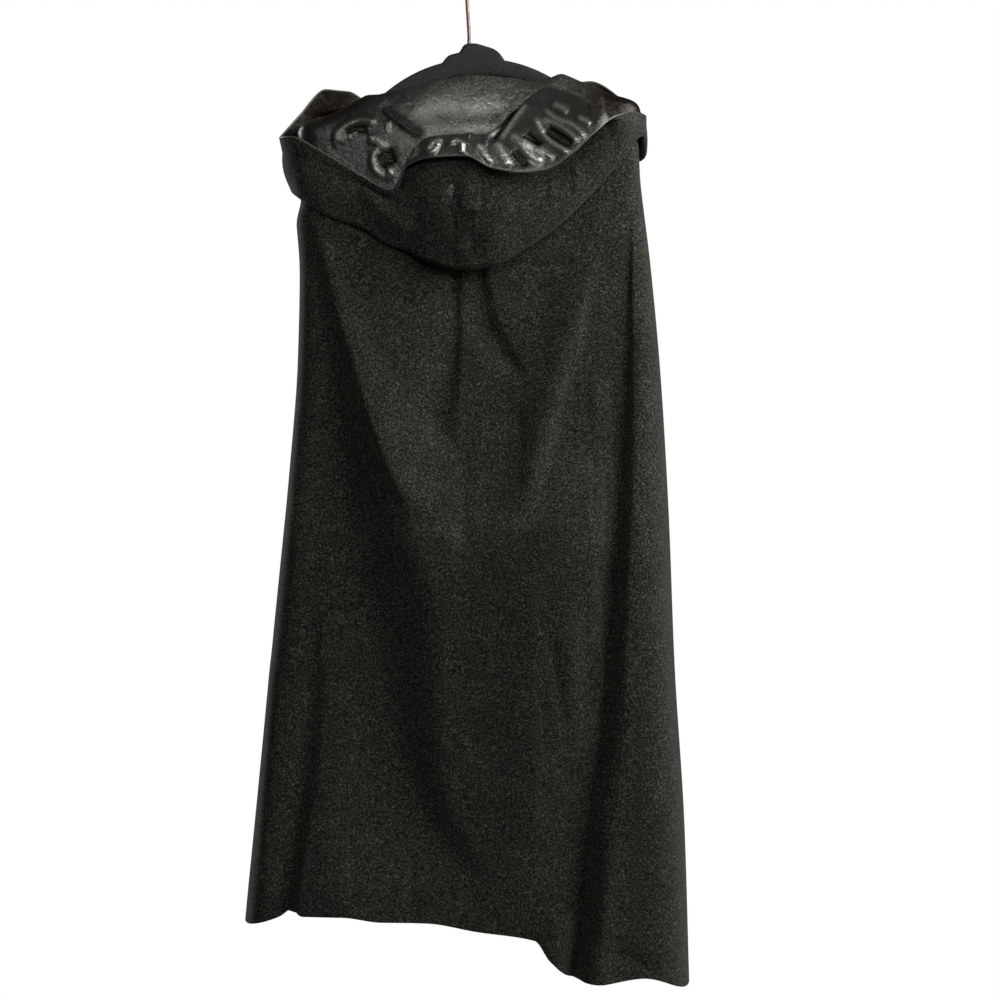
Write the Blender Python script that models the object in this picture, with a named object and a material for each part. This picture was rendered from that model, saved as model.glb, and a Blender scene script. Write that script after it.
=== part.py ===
"""A hooded wool cloak hanging on its hanger, seen from behind along +Y. Metres, +Z up.

The origin is the inside top of the hanger's hook, where a rail carries it.
Tables are in millimetres; MM turns them into metres.

The cloak is one surface, body(around, down):
  around runs 0 at the left front edge, 1/4 at the left side, 1/2 at the centre
  back, 3/4 at the right side and 1 at the right front edge;
  down runs 0 at the neck seam to 1 at the hem.
Left and right are the wearer's, so left is -X.
"""

import math

import bmesh
import bpy
import numpy as np
from mathutils import Matrix, Vector

MM = 0.001

# Cloth
WOOL = 2.0  # thickness of the coating wool
SATIN = 1.0  # thickness of the hood's satin lining
SEAM_GAP = 0.3  # between two pieces that are sewn together

# The cloak's sections from neck to hem. x_left and x_right are its side edges,
# x_seam its centre-back seam, depth_back and depth_front its reach either side
# of the hanger.
SECTIONS = (
    # name        down  x_left x_right x_seam depth_back depth_front
    ("neck", 0.000, -132, 125, 0, 20, 20),
    ("slope", 0.050, -176, 177, -2, 26, 25),
    ("point", 0.100, -217, 216, -5, 32, 30),
    ("armhole", 0.160, -218, 223, -8, 39, 37),
    ("blade", 0.250, -219, 236, -11, 48, 45),
    ("waist", 0.370, -222, 249, -12, 56, 53),
    ("hip", 0.500, -233, 258, -10, 63, 61),
    ("thigh", 0.670, -252, 266, -8, 69, 69),
    ("knee", 0.840, -271, 279, -6, 76, 76),
    ("hem", 1.000, -289, 285, -5, 84, 82),
)
SIDE_POWERS = (22.0, 16.0)  # how flat it lies at its left and right: 2 is an ellipse

# Heights of the sections over the hanger's shoulders, which slope with it.
YOKE = (
    # down   z_left z_back z_right z_front
    (0.000, -193, -162, -165, -192),
    (0.050, -218, -200, -189, -220),
    (0.100, -239, -238, -205, -248),
    (0.160, -302, -302, -302, -302),
)
# The back's neck seam droops either side of its middle, below the hanger's arch.
NECK_DROOP = (
    # x     drop
    (-132, 0),
    (-112, 8),
    (-72, 11),
    (-30, 7),
    (13, 4),
    (57, 7),
    (82, 11),
    (100, 7),
    (118, 0),
)
NECK_DROOP_END = 0.06  # how far down it reaches

# The hem, cut a little longer to the wearer's right.
BACK_HEM = (
    # x     z
    (-289, -1252),
    (-237, -1237),
    (-222, -1227),
    (-208, -1235),
    (-158, -1235),
    (-109, -1242),
    (-49, -1244),
    (10, -1254),
    (84, -1264),
    (103, -1289),
    (127, -1311),
    (165, -1316),
    (220, -1309),
    (285, -1331),
)
FRONT_HEM = (
    # x     z
    (-289, -1252),
    (-200, -1264),
    (-90, -1258),
    (0, -1270),
    (90, -1290),
    (200, -1305),
    (285, -1331),
)

# The two front edges part as they fall.
FRONT_GAP_NECK = 8.0
FRONT_GAP_HEM = 34.0

# Drops: the cloth falls from a crest to a foot, either way, and comes back over
# the recovery beyond it. Heights run from the top down.
BACK_DROPS = {
    "left sweep": (
        # z   crest  foot drop recovery
        (-340, -196, -206, 0, 900),
        (-396, -184, -198, 3, 900),
        (-460, -168, -192, 7, 900),
        (-515, -152, -183, 12, 900),
        (-586, -131, -172, 19, 900),
        (-677, -96, -157, 28, 900),
        (-737, -71, -149, 32, 900),
        (-788, -51, -145, 34, 900),
        (-845, -34, -134, 33, 900),
        (-901, -27, -119, 31, 900),
        (-958, -29, -107, 28, 900),
        (-1015, -29, -96, 24, 900),
        (-1072, -23, -73, 18, 900),
        (-1110, -9, -61, 14, 900),
        (-1140, 9, -41, 10, 900),
        (-1170, 29, -15, 6, 900),
        (-1204, 44, 30, 0, 900),
    ),
    "right arm": (
        (-396, 167, 174, 1, 80),
        (-463, 143, 158, 5, 80),
        (-515, 130, 151, 8, 80),
        (-554, 115, 138, 9, 80),
        (-616, 100, 120, 9, 80),
        (-677, 81, 102, 8, 80),
        (-718, 66, 86, 6, 80),
        (-750, 50, 66, 0, 80),
    ),
    "right hollow": (
        (-396, 165, 120, 2, 90),
        (-463, 141, 92, 6, 90),
        (-554, 113, 66, 8, 90),
        (-616, 98, 54, 8, 90),
        (-677, 79, 40, 7, 90),
        (-718, 64, 30, 4, 80),
        (-750, 48, 20, 0, 80),
    ),
    "right valley": (
        (-330, 210, 208, 0, 30),
        (-460, 210, 206, 6, 30),
        (-586, 210, 200, 9, 32),
        (-677, 207, 193, 11, 34),
        (-788, 203, 184, 13, 36),
        (-901, 201, 174, 15, 38),
        (-1015, 199, 165, 16, 40),
        (-1091, 191, 154, 17, 42),
        (-1167, 180, 150, 17, 44),
        (-1235, 176, 146, 17, 30),
        (-1320, 170, 132, 17, 18),
    ),
    "left slit": (
        (-800, -188, -192, 0, 24),
        (-838, -186, -192, 1, 24),
        (-901, -181, -195, 3, 24),
        (-973, -177, -198, 5, 24),
        (-1040, -184, -202, 6, 24),
        (-1091, -191, -208, 7, 24),
        (-1182, -206, -220, 8, 24),
        (-1260, -216, -226, 8, 24),
    ),
}

# Folds: ridges (rise > 0) and troughs (rise < 0), each along a path of (x, z)
# points, with its widths to the left and right and its rise at both ends.
BACK_FOLDS = (
    # name             path (x, z) from its top down                     left      right     rise
    ("left tension", ((-194, -350), (-151, -515), (-97, -677), (-60, -745)), (8, 8), (4, 56), (2, 10)),
    ("flare ridge", ((-172, -930), (-168, -1090), (-150, -1250)), (34, 50), (34, 50), (3, 8)),
    ("side swell", ((150, -640), (150, -900), (146, -1250)), (120, 110), (26, 26), (7, 8)),
)
FRONT_FOLDS = (
    # name             path (x, z) from its top down                     left      right     rise
    ("left drape", ((-70, -250), (-110, -700), (-150, -1260)), (20, 34), (20, 34), (5, 26)),
    ("left hollow", ((-130, -300), (-175, -760), (-215, -1260)), (18, 26), (18, 26), (-4, -22)),
    ("left edge", ((-20, -230), (-34, -700), (-52, -1260)), (16, 26), (16, 26), (3, 18)),
    ("right drape", ((80, -250), (118, -720), (140, -1280)), (22, 36), (22, 36), (5, 24)),
    ("right hollow", ((140, -300), (178, -760), (206, -1290)), (18, 28), (18, 28), (-5, -26)),
    ("right edge", ((24, -230), (44, -700), (58, -1270)), (16, 28), (16, 28), (3, 15)),
)
FOLD_ENDS = 0.14  # the share of a fold's length over which it fades in and out
HEM_REACH = -1200.0  # a fold that ends below this runs out through the hem

# The rows of cloth run with the right valley below the shoulders.
VALLEY_AROUND = 0.6625
VALLEY_START = -330.0
VALLEY_BLEND = 170.0

# The swag: the back hangs between the shoulders in a U, fullest along its lip.
SWAG_LIP = (
    # x    z
    (-200, -300),
    (-186, -350),
    (-155, -460),
    (-137, -525),
    (-118, -590),
    (-90, -677),
    (-62, -733),
    (-33, -760),
    (-4, -781),
    (15, -773),
    (50, -754),
    (66, -726),
    (81, -680),
    (100, -616),
    (130, -515),
    (167, -396),
    (190, -330),
)
# How far the lip and all the back outside the U stand out at each height.
SWAG_LEVELS = (
    # z    out
    (-330, 0),
    (-460, 4),
    (-560, 11),
    (-640, 19),
    (-700, 27),
    (-781, 36),
    (-850, 33),
    (-1000, 24),
    (-1150, 13),
    (-1300, 2),
)
SWAG_FALL = 105.0  # how fast the cloth falls away inside the U
SWAG_TURN = 5.0  # radius of the lip's edge

# The strip right of the right valley swings back toward the viewer as it falls,
# and the strip left of the left slit hangs behind it.
RIGHT_STRIP = ((-330, 0), (-700, 6), (-1000, 13), (-1300, 22))
LEFT_STRIP = ((-800, 0), (-1050, -3), (-1250, -5))
STRIP_EDGE = 20.0

# The hood hangs open down the back. For each place around the neck: the height
# of its bottom fold, its face edge, how far the outer wall bellies out and how
# high the lip stands whose lining rolls over to the face edge.
HOOD = (
    # around z_bottom  face x,   y,    z   belly lip
    (0.000, -206, -7, 30, -187, 2, 3),
    (0.070, -216, -62, 41, -182, 4, 3),
    (0.130, -236, -126, 47, -190, 6, 3),
    (0.160, -254, -160, 44, -173, 7, 3),
    (0.190, -272, -188, 34, -172, 7, 3),
    (0.225, -298, -221, 18, -208, 5, 3),
    (0.255, -312, -243, -16, -243, 4, 3),
    (0.290, -324, -222, -44, -249, 2, 5),
    (0.350, -352, -178, -53, -274, 2, 7),
    (0.400, -368, -131, -61, -303, 3, 10),
    (0.428, -388, -97, -69, -320, 5, 10),
    (0.448, -396, -77, -80, -290, 9, 15),
    (0.470, -410, -46, -94, -282, 15, 24),
    (0.500, -420, -4, -99, -281, 20, 26),
    (0.525, -416, 30, -103, -297, 20, 44),
    (0.550, -397, 66, -106, -303, 18, 88),
    (0.575, -374, 98, -104, -299, 14, 109),
    (0.605, -344, 128, -106, -281, 8, 81),
    (0.640, -306, 157, -103, -254, 2, 36),
    (0.680, -268, 182, -86, -231, 1, 12),
    (0.706, -248, 197, -68, -223, 1, 6),
    (0.725, -243, 208, -48, -217, 1, 4),
    (0.755, -264, 228, -4, -213, 1, 3),
    (0.790, -268, 206, 32, -190, 4, 3),
    (0.830, -246, 160, 42, -160, 6, 3),
    (0.880, -230, 110, 44, -168, 5, 3),
    (0.940, -214, 50, 38, -180, 3, 3),
    (1.000, -206, 7, 30, -187, 2, 3),
)
LIP_LEAN = 0.5  # how far the lip leans in over its height
LIP_TOP = 7.5  # across the top of the lip
LIP_LOW_STARTS = (0.3, 0.15)  # where a low lip's rows stand, as shares of the outer wall
LIP_LEAST = 5.0  # a lip this low doesn't roll over
LIP_FULL = 22.0  # and one this high does so fully
HOOD_SEAM_CLEAR = 1.4  # between the hood and the cloak at the neck seam
HOOD_CLEAR = 6.0  # and this much more where the hood hangs full
HOOD_PLY_GAP = 0.7  # between the hood's wool and its lining
HOOD_ROLL = 1.6  # least radius of the roll at the hood's bottom
HOOD_ROLL_TURNS = (35, 90, 145)  # where the roll is faceted, in degrees
HOOD_DEEPEST = 0.45  # no part of the hood hangs lower down the cloak than this
HOOD_DEPTHS = 181  # how many places are tried for its bottom
HOOD_SEAM = 0.5  # the crown seam's place

# Hanger: an arch, two straight arms and a low crown that holds the hook.
ARCH_RADIUS = 187.0
ARCH_HALF = 122.0
ARM_REACH = 204.0
ARM_DROP = 46.0
BAR_HEIGHT = 25.0
BAR_END_HEIGHT = 18.0
BAR_THICKNESS = 12.0
BAR_TOP = -138.5
BAR_TILT = math.radians(4.0)
CROWN = ((-34, 0), (-26, 7), (-12, 9), (-4, 19), (6, 20), (28, 14), (40, 9), (46, 0))

# Hook
WIRE = 5.0
HOOK_RADIUS = 22.0  # to the wire's middle
HOOK_SWEEP = math.radians(215.0)
HOOK_START = math.radians(225.0)
HOOK_STEPS = 14
STEM_FOOT = (0.0, -130.0)
STEM_OUT = (0.0, -116.0)  # where the wire leaves its bore
STEM_TOP = (-2.6, -66.0)
STEM_SWELL = ((0.03, 0.25), (0.3, 0.6))  # its turn into the bend, out and up
BORE_WIDTH = 5.8
BORE_FLOOR = -132.0

# Neck closure: a tab sewn on the left front and buttoned on the right front
TAB_AROUND = (0.045, 0.955)  # where it ends on each front
TAB_DOWN = (0.055, 0.085)  # its upper and lower edge
TAB_THICKNESS = 1.5
TAB_CLEAR = 0.5  # it lies this far off the fronts
TAB_STEPS = 5
BUTTON_AROUND = 0.965
BUTTON_WIDTH = 18.0
BUTTON_THICKNESS = 4.0

# How finely the pieces are faceted
DOWN_STEPS = 20
BACK_STEPS = 20
FRONT_STEPS = 9
HOOD_SPACING = 0.034
HOOD_INNER_STEPS = 5
HOOD_OUTER_STEPS = 2

MATERIALS = {
    "wool": ((0.019, 0.019, 0.016), 0.95, 0.0),
    "satin": ((0.012, 0.014, 0.012), 0.35, 0.0),
    "moulding": ((0.012, 0.012, 0.012), 0.5, 0.0),
    "wire": ((0.10, 0.07, 0.055), 0.4, 1.0),
    "button": ((0.01, 0.01, 0.01), 0.35, 0.0),
}


def clear_scene():
    """Empties the scene."""
    for found in list(bpy.data.objects):
        bpy.data.objects.remove(found, do_unlink=True)


def material(name):
    """The named material, made once."""
    if name in bpy.data.materials:
        return bpy.data.materials[name]
    colour, roughness, metallic = MATERIALS[name]
    made = bpy.data.materials.new(name)
    made.use_nodes = True
    shader = made.node_tree.nodes["Principled BSDF"]
    shader.inputs["Base Color"].default_value = (*colour, 1.0)
    shader.inputs["Roughness"].default_value = roughness
    shader.inputs["Metallic"].default_value = metallic
    return made


def curve(rows, at, column=1):
    """Reads a column of a table at any place of its first column, with no overshoot."""
    places = np.array([row[0] for row in rows], dtype=float)
    values = np.array([row[column] for row in rows], dtype=float)
    if places[0] > places[-1]:
        places, values = places[::-1], values[::-1]
    steps = np.diff(places)
    slopes = np.diff(values) / steps
    tangents = np.zeros(len(places))
    tangents[0], tangents[-1] = slopes[0], slopes[-1]
    turning = slopes[:-1] * slopes[1:] > 0
    means = 2 * slopes[:-1] * slopes[1:] / np.where(turning, slopes[:-1] + slopes[1:], 1)
    tangents[1:-1] = np.where(turning, means, 0)
    at = np.clip(np.asarray(at, dtype=float), places[0], places[-1])
    row = np.clip(np.searchsorted(places, at, side="right") - 1, 0, len(steps) - 1)
    share = (at - places[row]) / steps[row]
    start = (1 + 2 * share) * (1 - share) ** 2 * values[row]
    finish = share**2 * (3 - 2 * share) * values[row + 1]
    lean = share * (1 - share) ** 2 * tangents[row] - share**2 * (1 - share) * tangents[row + 1]
    return start + finish + lean * steps[row]


def smooth(value):
    """0 below 0, 1 above 1 and an S between."""
    value = np.clip(value, 0, 1)
    return value * value * (3 - 2 * value)


def fold(row, x, z):
    """How far one fold lifts the cloth at x, z."""
    name, path, left, right, rise = row
    z_top, z_end = path[0][1], path[-1][1]
    share = np.clip((z_top - z) / (z_top - z_end), 0, 1)
    fade = smooth(((z_top - z) / (z_top - z_end)) / FOLD_ENDS)
    if z_end > HEM_REACH:
        fade = fade * smooth((1 - (z_top - z) / (z_top - z_end)) / FOLD_ENDS)
    off = x - curve([(z_at, x_at) for x_at, z_at in path], z)
    ends = [np.where(off < 0, a, b) for a, b in zip(left, right)]
    width = ends[0] + (ends[1] - ends[0]) * share
    return (rise[0] + (rise[1] - rise[0]) * share) * fade * np.exp(-((off / width) ** 2))


def drop(rows, x, z):
    """How far the cloth falls at x, z, down one side of a fold."""
    crest, foot, depth, recovery = (curve(rows, z, column) for column in (1, 2, 3, 4))
    share = (crest - x) / (crest - foot)
    beyond = np.clip(share - 1, 0, None) * np.abs(crest - foot)
    return -depth * smooth(share) * np.exp(-((beyond / recovery) ** 2))


def swag(x, z):
    """The U-shaped fullness between the shoulders."""
    lip = curve(SWAG_LIP, x)
    steep = ((curve(SWAG_LIP, x + 2) - lip) / 2) ** 2
    above = np.clip(z - lip, 0, None)
    from_lip = np.sqrt(above**2 / (1 + steep) + SWAG_TURN**2) - SWAG_TURN
    nearest = np.minimum(z, lip) + above * steep / (1 + steep)
    return curve(SWAG_LEVELS, nearest) * np.exp(-from_lip / SWAG_FALL)


def foot_x(name, z):
    """Where the foot of a named drop of the back runs at height z."""
    return curve(BACK_DROPS[name], z, 2)


def back_relief(x, z):
    """All the folds of the back, outward from its plain section."""
    lift = swag(x, z)
    for rows in BACK_DROPS.values():
        lift = lift + drop(rows, x, z)
    for row in BACK_FOLDS:
        lift = lift + fold(row, x, z)
    lift = lift + curve(RIGHT_STRIP, z) * smooth((x - foot_x("right valley", z)) / STRIP_EDGE)
    return lift + curve(LEFT_STRIP, z) * smooth((foot_x("left slit", z) - x) / STRIP_EDGE + 0.5)


def front_relief(x, z):
    """All the folds of the fronts, outward from their plain section."""
    lift = np.zeros_like(x)
    for row in FRONT_FOLDS:
        lift = lift + fold(row, x, z)
    return lift


def with_valley(across, down, seam, right):
    """Bends the right back's rows of cloth so that one of them follows the valley."""
    z = YOKE[-1][1] + (BACK_HEM[-3][1] - YOKE[-1][1]) * (down - YOKE[-1][0]) / (1 - YOKE[-1][0])
    straight = math.sin((VALLEY_AROUND - 0.5) * 2 * math.pi)
    along = (foot_x("right valley", z) - seam) / (right - seam)
    bent = straight + (along - straight) * smooth((VALLEY_START - z) / VALLEY_BLEND)
    inner = across / straight * bent
    outer = bent + (across - straight) / (1 - straight) * (1 - bent)
    return np.where(across < straight, inner, outer)


def body(around, down):
    """Points on the cloak's outer face, in millimetres."""
    around, down = np.broadcast_arrays(np.asarray(around, float), np.asarray(down, float))
    is_back = (around >= 0.25) & (around <= 0.75)
    turn = np.where(is_back, (around - 0.5) * 4, np.where(around < 0.25, -around * 4, (1 - around) * 4))
    across = np.sin(np.clip(turn, -1, 1) * math.pi / 2)
    rows = [row[1:] for row in SECTIONS]
    left, right, seam = (curve(rows, down, column) for column in (1, 2, 3))
    gap = FRONT_GAP_NECK + (FRONT_GAP_HEM - FRONT_GAP_NECK) * down
    middle = seam + np.where(is_back, 0, np.where(around < 0.25, -gap, gap) / 2)
    side_x = np.where(across < 0, left, right)
    across = np.where(is_back & (across > 0), with_valley(across, down, seam, right), across)
    x = middle + np.abs(side_x - middle) * across

    side = np.where(across < 0, curve(YOKE, down, 1), curve(YOKE, down, 3))
    centre = np.where(is_back, curve(YOKE, down, 2), curve(YOKE, down, 4))
    yoke = centre + (side - centre) * across**2
    droop = curve(NECK_DROOP, x) * np.clip(1 - down / NECK_DROOP_END, 0, 1) ** 2
    yoke = yoke - np.where(is_back, droop, 0)
    hem = np.where(is_back, curve(BACK_HEM, x), curve(FRONT_HEM, x))
    share = (down - YOKE[-1][0]) / (1 - YOKE[-1][0])
    z = np.where(share <= 0, yoke, YOKE[-1][1] + (hem - YOKE[-1][1]) * np.clip(share, 0, 1))

    depth = np.where(is_back, curve(rows, down, 4), curve(rows, down, 5))
    power = np.where(across < 0, *SIDE_POWERS)
    roundness = np.sqrt(np.clip(1 - np.abs(across) ** power, 0, 1))
    relief = np.where(is_back, back_relief(x, z), front_relief(x, z))
    reach = (depth + relief) * roundness
    return np.stack([x, np.where(is_back, -reach, reach), z], axis=-1)


def outward(around, down, surface=body, step=0.002):
    """Unit normals of a surface, pointing out of the cloak."""
    lo_around, hi_around = np.clip(around - step, 0, 1), np.clip(around + step, 0, 1)
    lo_down, hi_down = np.clip(down - step, 0, 1), np.clip(down + step, 0, 1)
    along = surface(hi_around, down) - surface(lo_around, down)
    fall = surface(around, hi_down) - surface(around, lo_down)
    normal = np.cross(fall, along)
    return normal / np.linalg.norm(normal, axis=-1, keepdims=True)


def trim(grid, gap):
    """Draws a grid's two side columns in by half a seam gap."""
    for edge, inner in ((0, 1), (-1, -2)):
        pull = grid[edge] - grid[inner]
        length = np.linalg.norm(pull, axis=-1, keepdims=True)
        grid[edge] = grid[edge] - pull / length * gap / 2
    return grid


def grid_normals(grid):
    """Unit normals of a grid of points, the mean of the facets round each."""
    one_way = grid[1:, 1:] - grid[:-1, :-1]
    other_way = grid[1:, :-1] - grid[:-1, 1:]
    facets = np.cross(one_way, other_way)
    facets = facets / np.linalg.norm(facets, axis=-1, keepdims=True)
    normal = np.zeros_like(grid)
    for columns in (slice(None, -1), slice(1, None)):
        for rows in (slice(None, -1), slice(1, None)):
            normal[columns, rows] += facets
    return normal / np.linalg.norm(normal, axis=-1, keepdims=True)


def link(name, mesh, finish, smooth_angle=40):
    """Puts a mesh into the scene as a named piece."""
    piece = bpy.data.objects.new(name, mesh)
    bpy.context.collection.objects.link(piece)
    mesh.materials.append(material(finish))
    mesh.shade_smooth()
    mesh.set_sharp_from_angle(angle=math.radians(smooth_angle))
    return piece


def sheet(name, outer, inner, finish):
    """A closed wall of cloth between two grids of points (in millimetres)."""
    made = bmesh.new()
    columns, rows = outer.shape[:2]
    walls = [
        [[made.verts.new(point * MM) for point in column] for column in grid] for grid in (outer, inner)
    ]
    for i in range(columns - 1):
        for j in range(rows - 1):
            for wall in walls:
                made.faces.new((wall[i][j], wall[i + 1][j], wall[i + 1][j + 1]))
                made.faces.new((wall[i][j], wall[i + 1][j + 1], wall[i][j + 1]))
    edges = [((i, j), (i + 1, j)) for j in (0, rows - 1) for i in range(columns - 1)]
    edges += [((i, j), (i, j + 1)) for i in (0, columns - 1) for j in range(rows - 1)]
    for (i, j), (k, m) in edges:
        made.faces.new((walls[0][i][j], walls[0][k][m], walls[1][k][m]))
        made.faces.new((walls[0][i][j], walls[1][k][m], walls[1][i][j]))
    bmesh.ops.recalc_face_normals(made, faces=made.faces)
    mesh = bpy.data.meshes.new(name)
    made.to_mesh(mesh)
    made.free()
    return link(name, mesh, finish)


def panel(name, start, finish, columns):
    """One panel of the cloak, between two seams."""
    around = np.linspace(start, finish, columns + 1)[:, None]
    down = np.linspace(0, 1, DOWN_STEPS + 1)[None, :] ** 1.15
    outer = body(around, down)
    normals = outward(around + 0 * down, down + 0 * around)
    inner = outer - normals * WOOL
    return sheet(name, trim(outer, SEAM_GAP), trim(inner, SEAM_GAP), "wool")


def hood_column(around):
    """The hood's middle surface at one place around the neck, from neck seam to face edge.

    It goes down the cloak, round the roll at the bottom, up the outer wall and over the lip.
    """
    z_bottom, *face, belly, lip = [float(curve(HOOD, around, column)) for column in range(1, 7)]
    roll = HOOD_ROLL + belly / 4
    depths = np.linspace(0, HOOD_DEEPEST, HOOD_DEPTHS)
    heights = body(around, depths)[:, 2]
    deepest = np.interp(-(z_bottom + WOOL + roll), -heights, depths)
    inner_down = np.linspace(0, deepest, HOOD_INNER_STEPS + 1)
    base = body(around, inner_down)
    normals = outward(np.full_like(inner_down, around), inner_down)
    share = np.linspace(0, 1, HOOD_INNER_STEPS + 1)[:, None]
    standing = min(HOOD_CLEAR, 1 + belly / 2)
    clear = WOOL + HOOD_SEAM_CLEAR + standing * np.sin(share * math.pi / 2)
    inner = base + normals * clear
    away = normals[-1] * np.array([1, 1, 0])
    away = away / np.linalg.norm(away)
    down = np.array([0, 0, -1])
    centre = inner[-1] + away * roll
    turns = [math.radians(turn) for turn in HOOD_ROLL_TURNS]
    rolled = [centre - away * roll * math.cos(turn) + down * roll * math.sin(turn) for turn in turns]
    face = np.array(face)
    start = centre + away * roll
    turned = smooth((lip - LIP_LEAST) / (LIP_FULL - LIP_LEAST))
    lip_out = face - (down + away * LIP_LEAN) * lip
    low_top, low_edge = [face + (start - face) * share for share in LIP_LOW_STARTS]
    top = low_top + (lip_out - away * LIP_TOP - low_top) * turned
    edge = low_edge + (lip_out - low_edge) * turned
    rise = np.linspace(0, 1, HOOD_OUTER_STEPS + 1)[:, None]
    outer = start + (top - start) * rise + away * belly * np.sin(rise * math.pi)
    return np.vstack([inner, rolled, outer, [edge, face]])


def hood_places():
    """Where the hood's columns stand: at the table's rows, and midway between wide ones."""
    rows = [row[0] for row in HOOD]
    between = [(a + b) / 2 for a, b in zip(rows, rows[1:]) if b - a > HOOD_SPACING]
    return sorted(rows + between)


def hood():
    """The wool and the lining of both halves of the hood."""
    places = hood_places()
    seam = places.index(HOOD_SEAM)
    middle = np.array([hood_column(at) for at in places])
    normals = -grid_normals(middle)
    halves = (("left", slice(0, seam + 1)), ("right", slice(seam, None)))
    near = HOOD_PLY_GAP / 2
    for side, part in halves:
        for name, reach, finish in (("hood", WOOL, "wool"), ("lining", -SATIN, "satin")):
            start = math.copysign(near, reach)
            outer = trim(middle[part] + normals[part] * (start + reach), SEAM_GAP)
            inner = trim(middle[part] + normals[part] * start, SEAM_GAP)
            sheet(f"{name}_{side}", outer, inner, finish)


def neck_closure():
    """The tab across the two fronts and the button that holds it."""
    left = np.linspace(TAB_AROUND[0], 0, TAB_STEPS)
    right = np.linspace(1, TAB_AROUND[1], TAB_STEPS)
    around = np.concatenate([left, right])[:, None]
    down = np.array(TAB_DOWN)[None, :]
    base = body(around, down)
    normals = outward(around + 0 * down, down + 0 * around)
    under = base + normals * TAB_CLEAR
    sheet("neck_tab", under + normals * TAB_THICKNESS, under, "wool")

    at, height = np.array([BUTTON_AROUND]), np.array([sum(TAB_DOWN) / 2])
    normal = Vector(outward(at, height)[0])
    lift = TAB_CLEAR + TAB_THICKNESS + SEAM_GAP + BUTTON_THICKNESS / 2
    spot = Vector(body(at, height)[0]) + normal * (lift + SEAM_GAP)
    made = bmesh.new()
    bmesh.ops.create_cone(
        made,
        cap_ends=True,
        segments=24,
        radius1=BUTTON_WIDTH / 2 * MM,
        radius2=BUTTON_WIDTH / 2 * MM,
        depth=BUTTON_THICKNESS * MM,
    )
    mesh = bpy.data.meshes.new("neck_button")
    made.to_mesh(mesh)
    made.free()
    piece = link("neck_button", mesh, "button")
    piece.location = spot * MM
    piece.rotation_euler = normal.to_track_quat("Z", "Y").to_euler()
    bevel = piece.modifiers.new("rounded rim", "BEVEL")
    bevel.width = 1.0 * MM
    bevel.segments = 2
    bevel.limit_method = "ANGLE"


def bar_top(x):
    """The level hanger bar's top edge at x, measured from the arch's top."""
    arch = ARCH_RADIUS - math.sqrt(ARCH_RADIUS**2 - min(abs(x), ARCH_HALF) ** 2)
    arm = (abs(x) - ARCH_HALF) / (ARM_REACH - ARCH_HALF) * ARM_DROP
    return -arch - max(arm, 0)


def hanger_bar():
    """The moulded bar, tilted a little to the wearer's left, with the hook's bore."""
    crown_x, crown_rise = zip(*CROWN)
    arm_x = np.linspace(ARCH_HALF, ARM_REACH, 4)
    shoulder_x = np.linspace(crown_x[-1], ARCH_HALF, 5)[1:-1]
    edge_x = sorted([*-arm_x, *-shoulder_x, *crown_x, *shoulder_x, *arm_x])
    top, bottom = [], []
    for x in edge_x:
        lift = float(np.interp(x, crown_x, crown_rise, 0, 0))
        height = BAR_HEIGHT + (BAR_END_HEIGHT - BAR_HEIGHT) * abs(x) / ARM_REACH
        top.append((x, bar_top(x) + lift))
        bottom.append((x, bar_top(x) - height))
    made = bmesh.new()
    tilt = Matrix.Rotation(-BAR_TILT, 4, "Y")
    corners = []
    for x, z in top + bottom[::-1]:
        spot = tilt @ Vector((x, -BAR_THICKNESS / 2, z)) + Vector((0, 0, BAR_TOP))
        corners.append(made.verts.new(spot * MM))
    grown = bmesh.ops.extrude_face_region(made, geom=[made.faces.new(corners)])
    moved = [item for item in grown["geom"] if isinstance(item, bmesh.types.BMVert)]
    bmesh.ops.translate(made, verts=moved, vec=(0, BAR_THICKNESS * MM, 0))
    bmesh.ops.recalc_face_normals(made, faces=made.faces)
    mesh = bpy.data.meshes.new("hanger_bar")
    made.to_mesh(mesh)
    made.free()
    piece = link("hanger_bar", mesh, "moulding")
    bevel = piece.modifiers.new("rounded edges", "BEVEL")
    bevel.width = 2.5 * MM
    bevel.segments = 2
    bevel.limit_method = "ANGLE"
    bevel.angle_limit = math.radians(50)
    bored = piece.modifiers.new("hook bore", "BOOLEAN")
    bored.operation = "DIFFERENCE"
    bored.object = bore_cutter()


def bore_cutter():
    """The round cutter for the bore that the hook's stem stands in."""
    depth = STEM_OUT[1] + BORE_WIDTH - BORE_FLOOR
    made = bmesh.new()
    bmesh.ops.create_cone(
        made,
        cap_ends=True,
        segments=16,
        radius1=BORE_WIDTH / 2 * MM,
        radius2=BORE_WIDTH / 2 * MM,
        depth=depth * MM,
    )
    mesh = bpy.data.meshes.new("bore cutter")
    made.to_mesh(mesh)
    made.free()
    cutter = bpy.data.objects.new("bore_cutter", mesh)
    bpy.context.collection.objects.link(cutter)
    cutter.location = (0, 0, (BORE_FLOOR + depth / 2) * MM)
    cutter.hide_render = True
    cutter.display_type = "WIRE"
    return cutter


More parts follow.
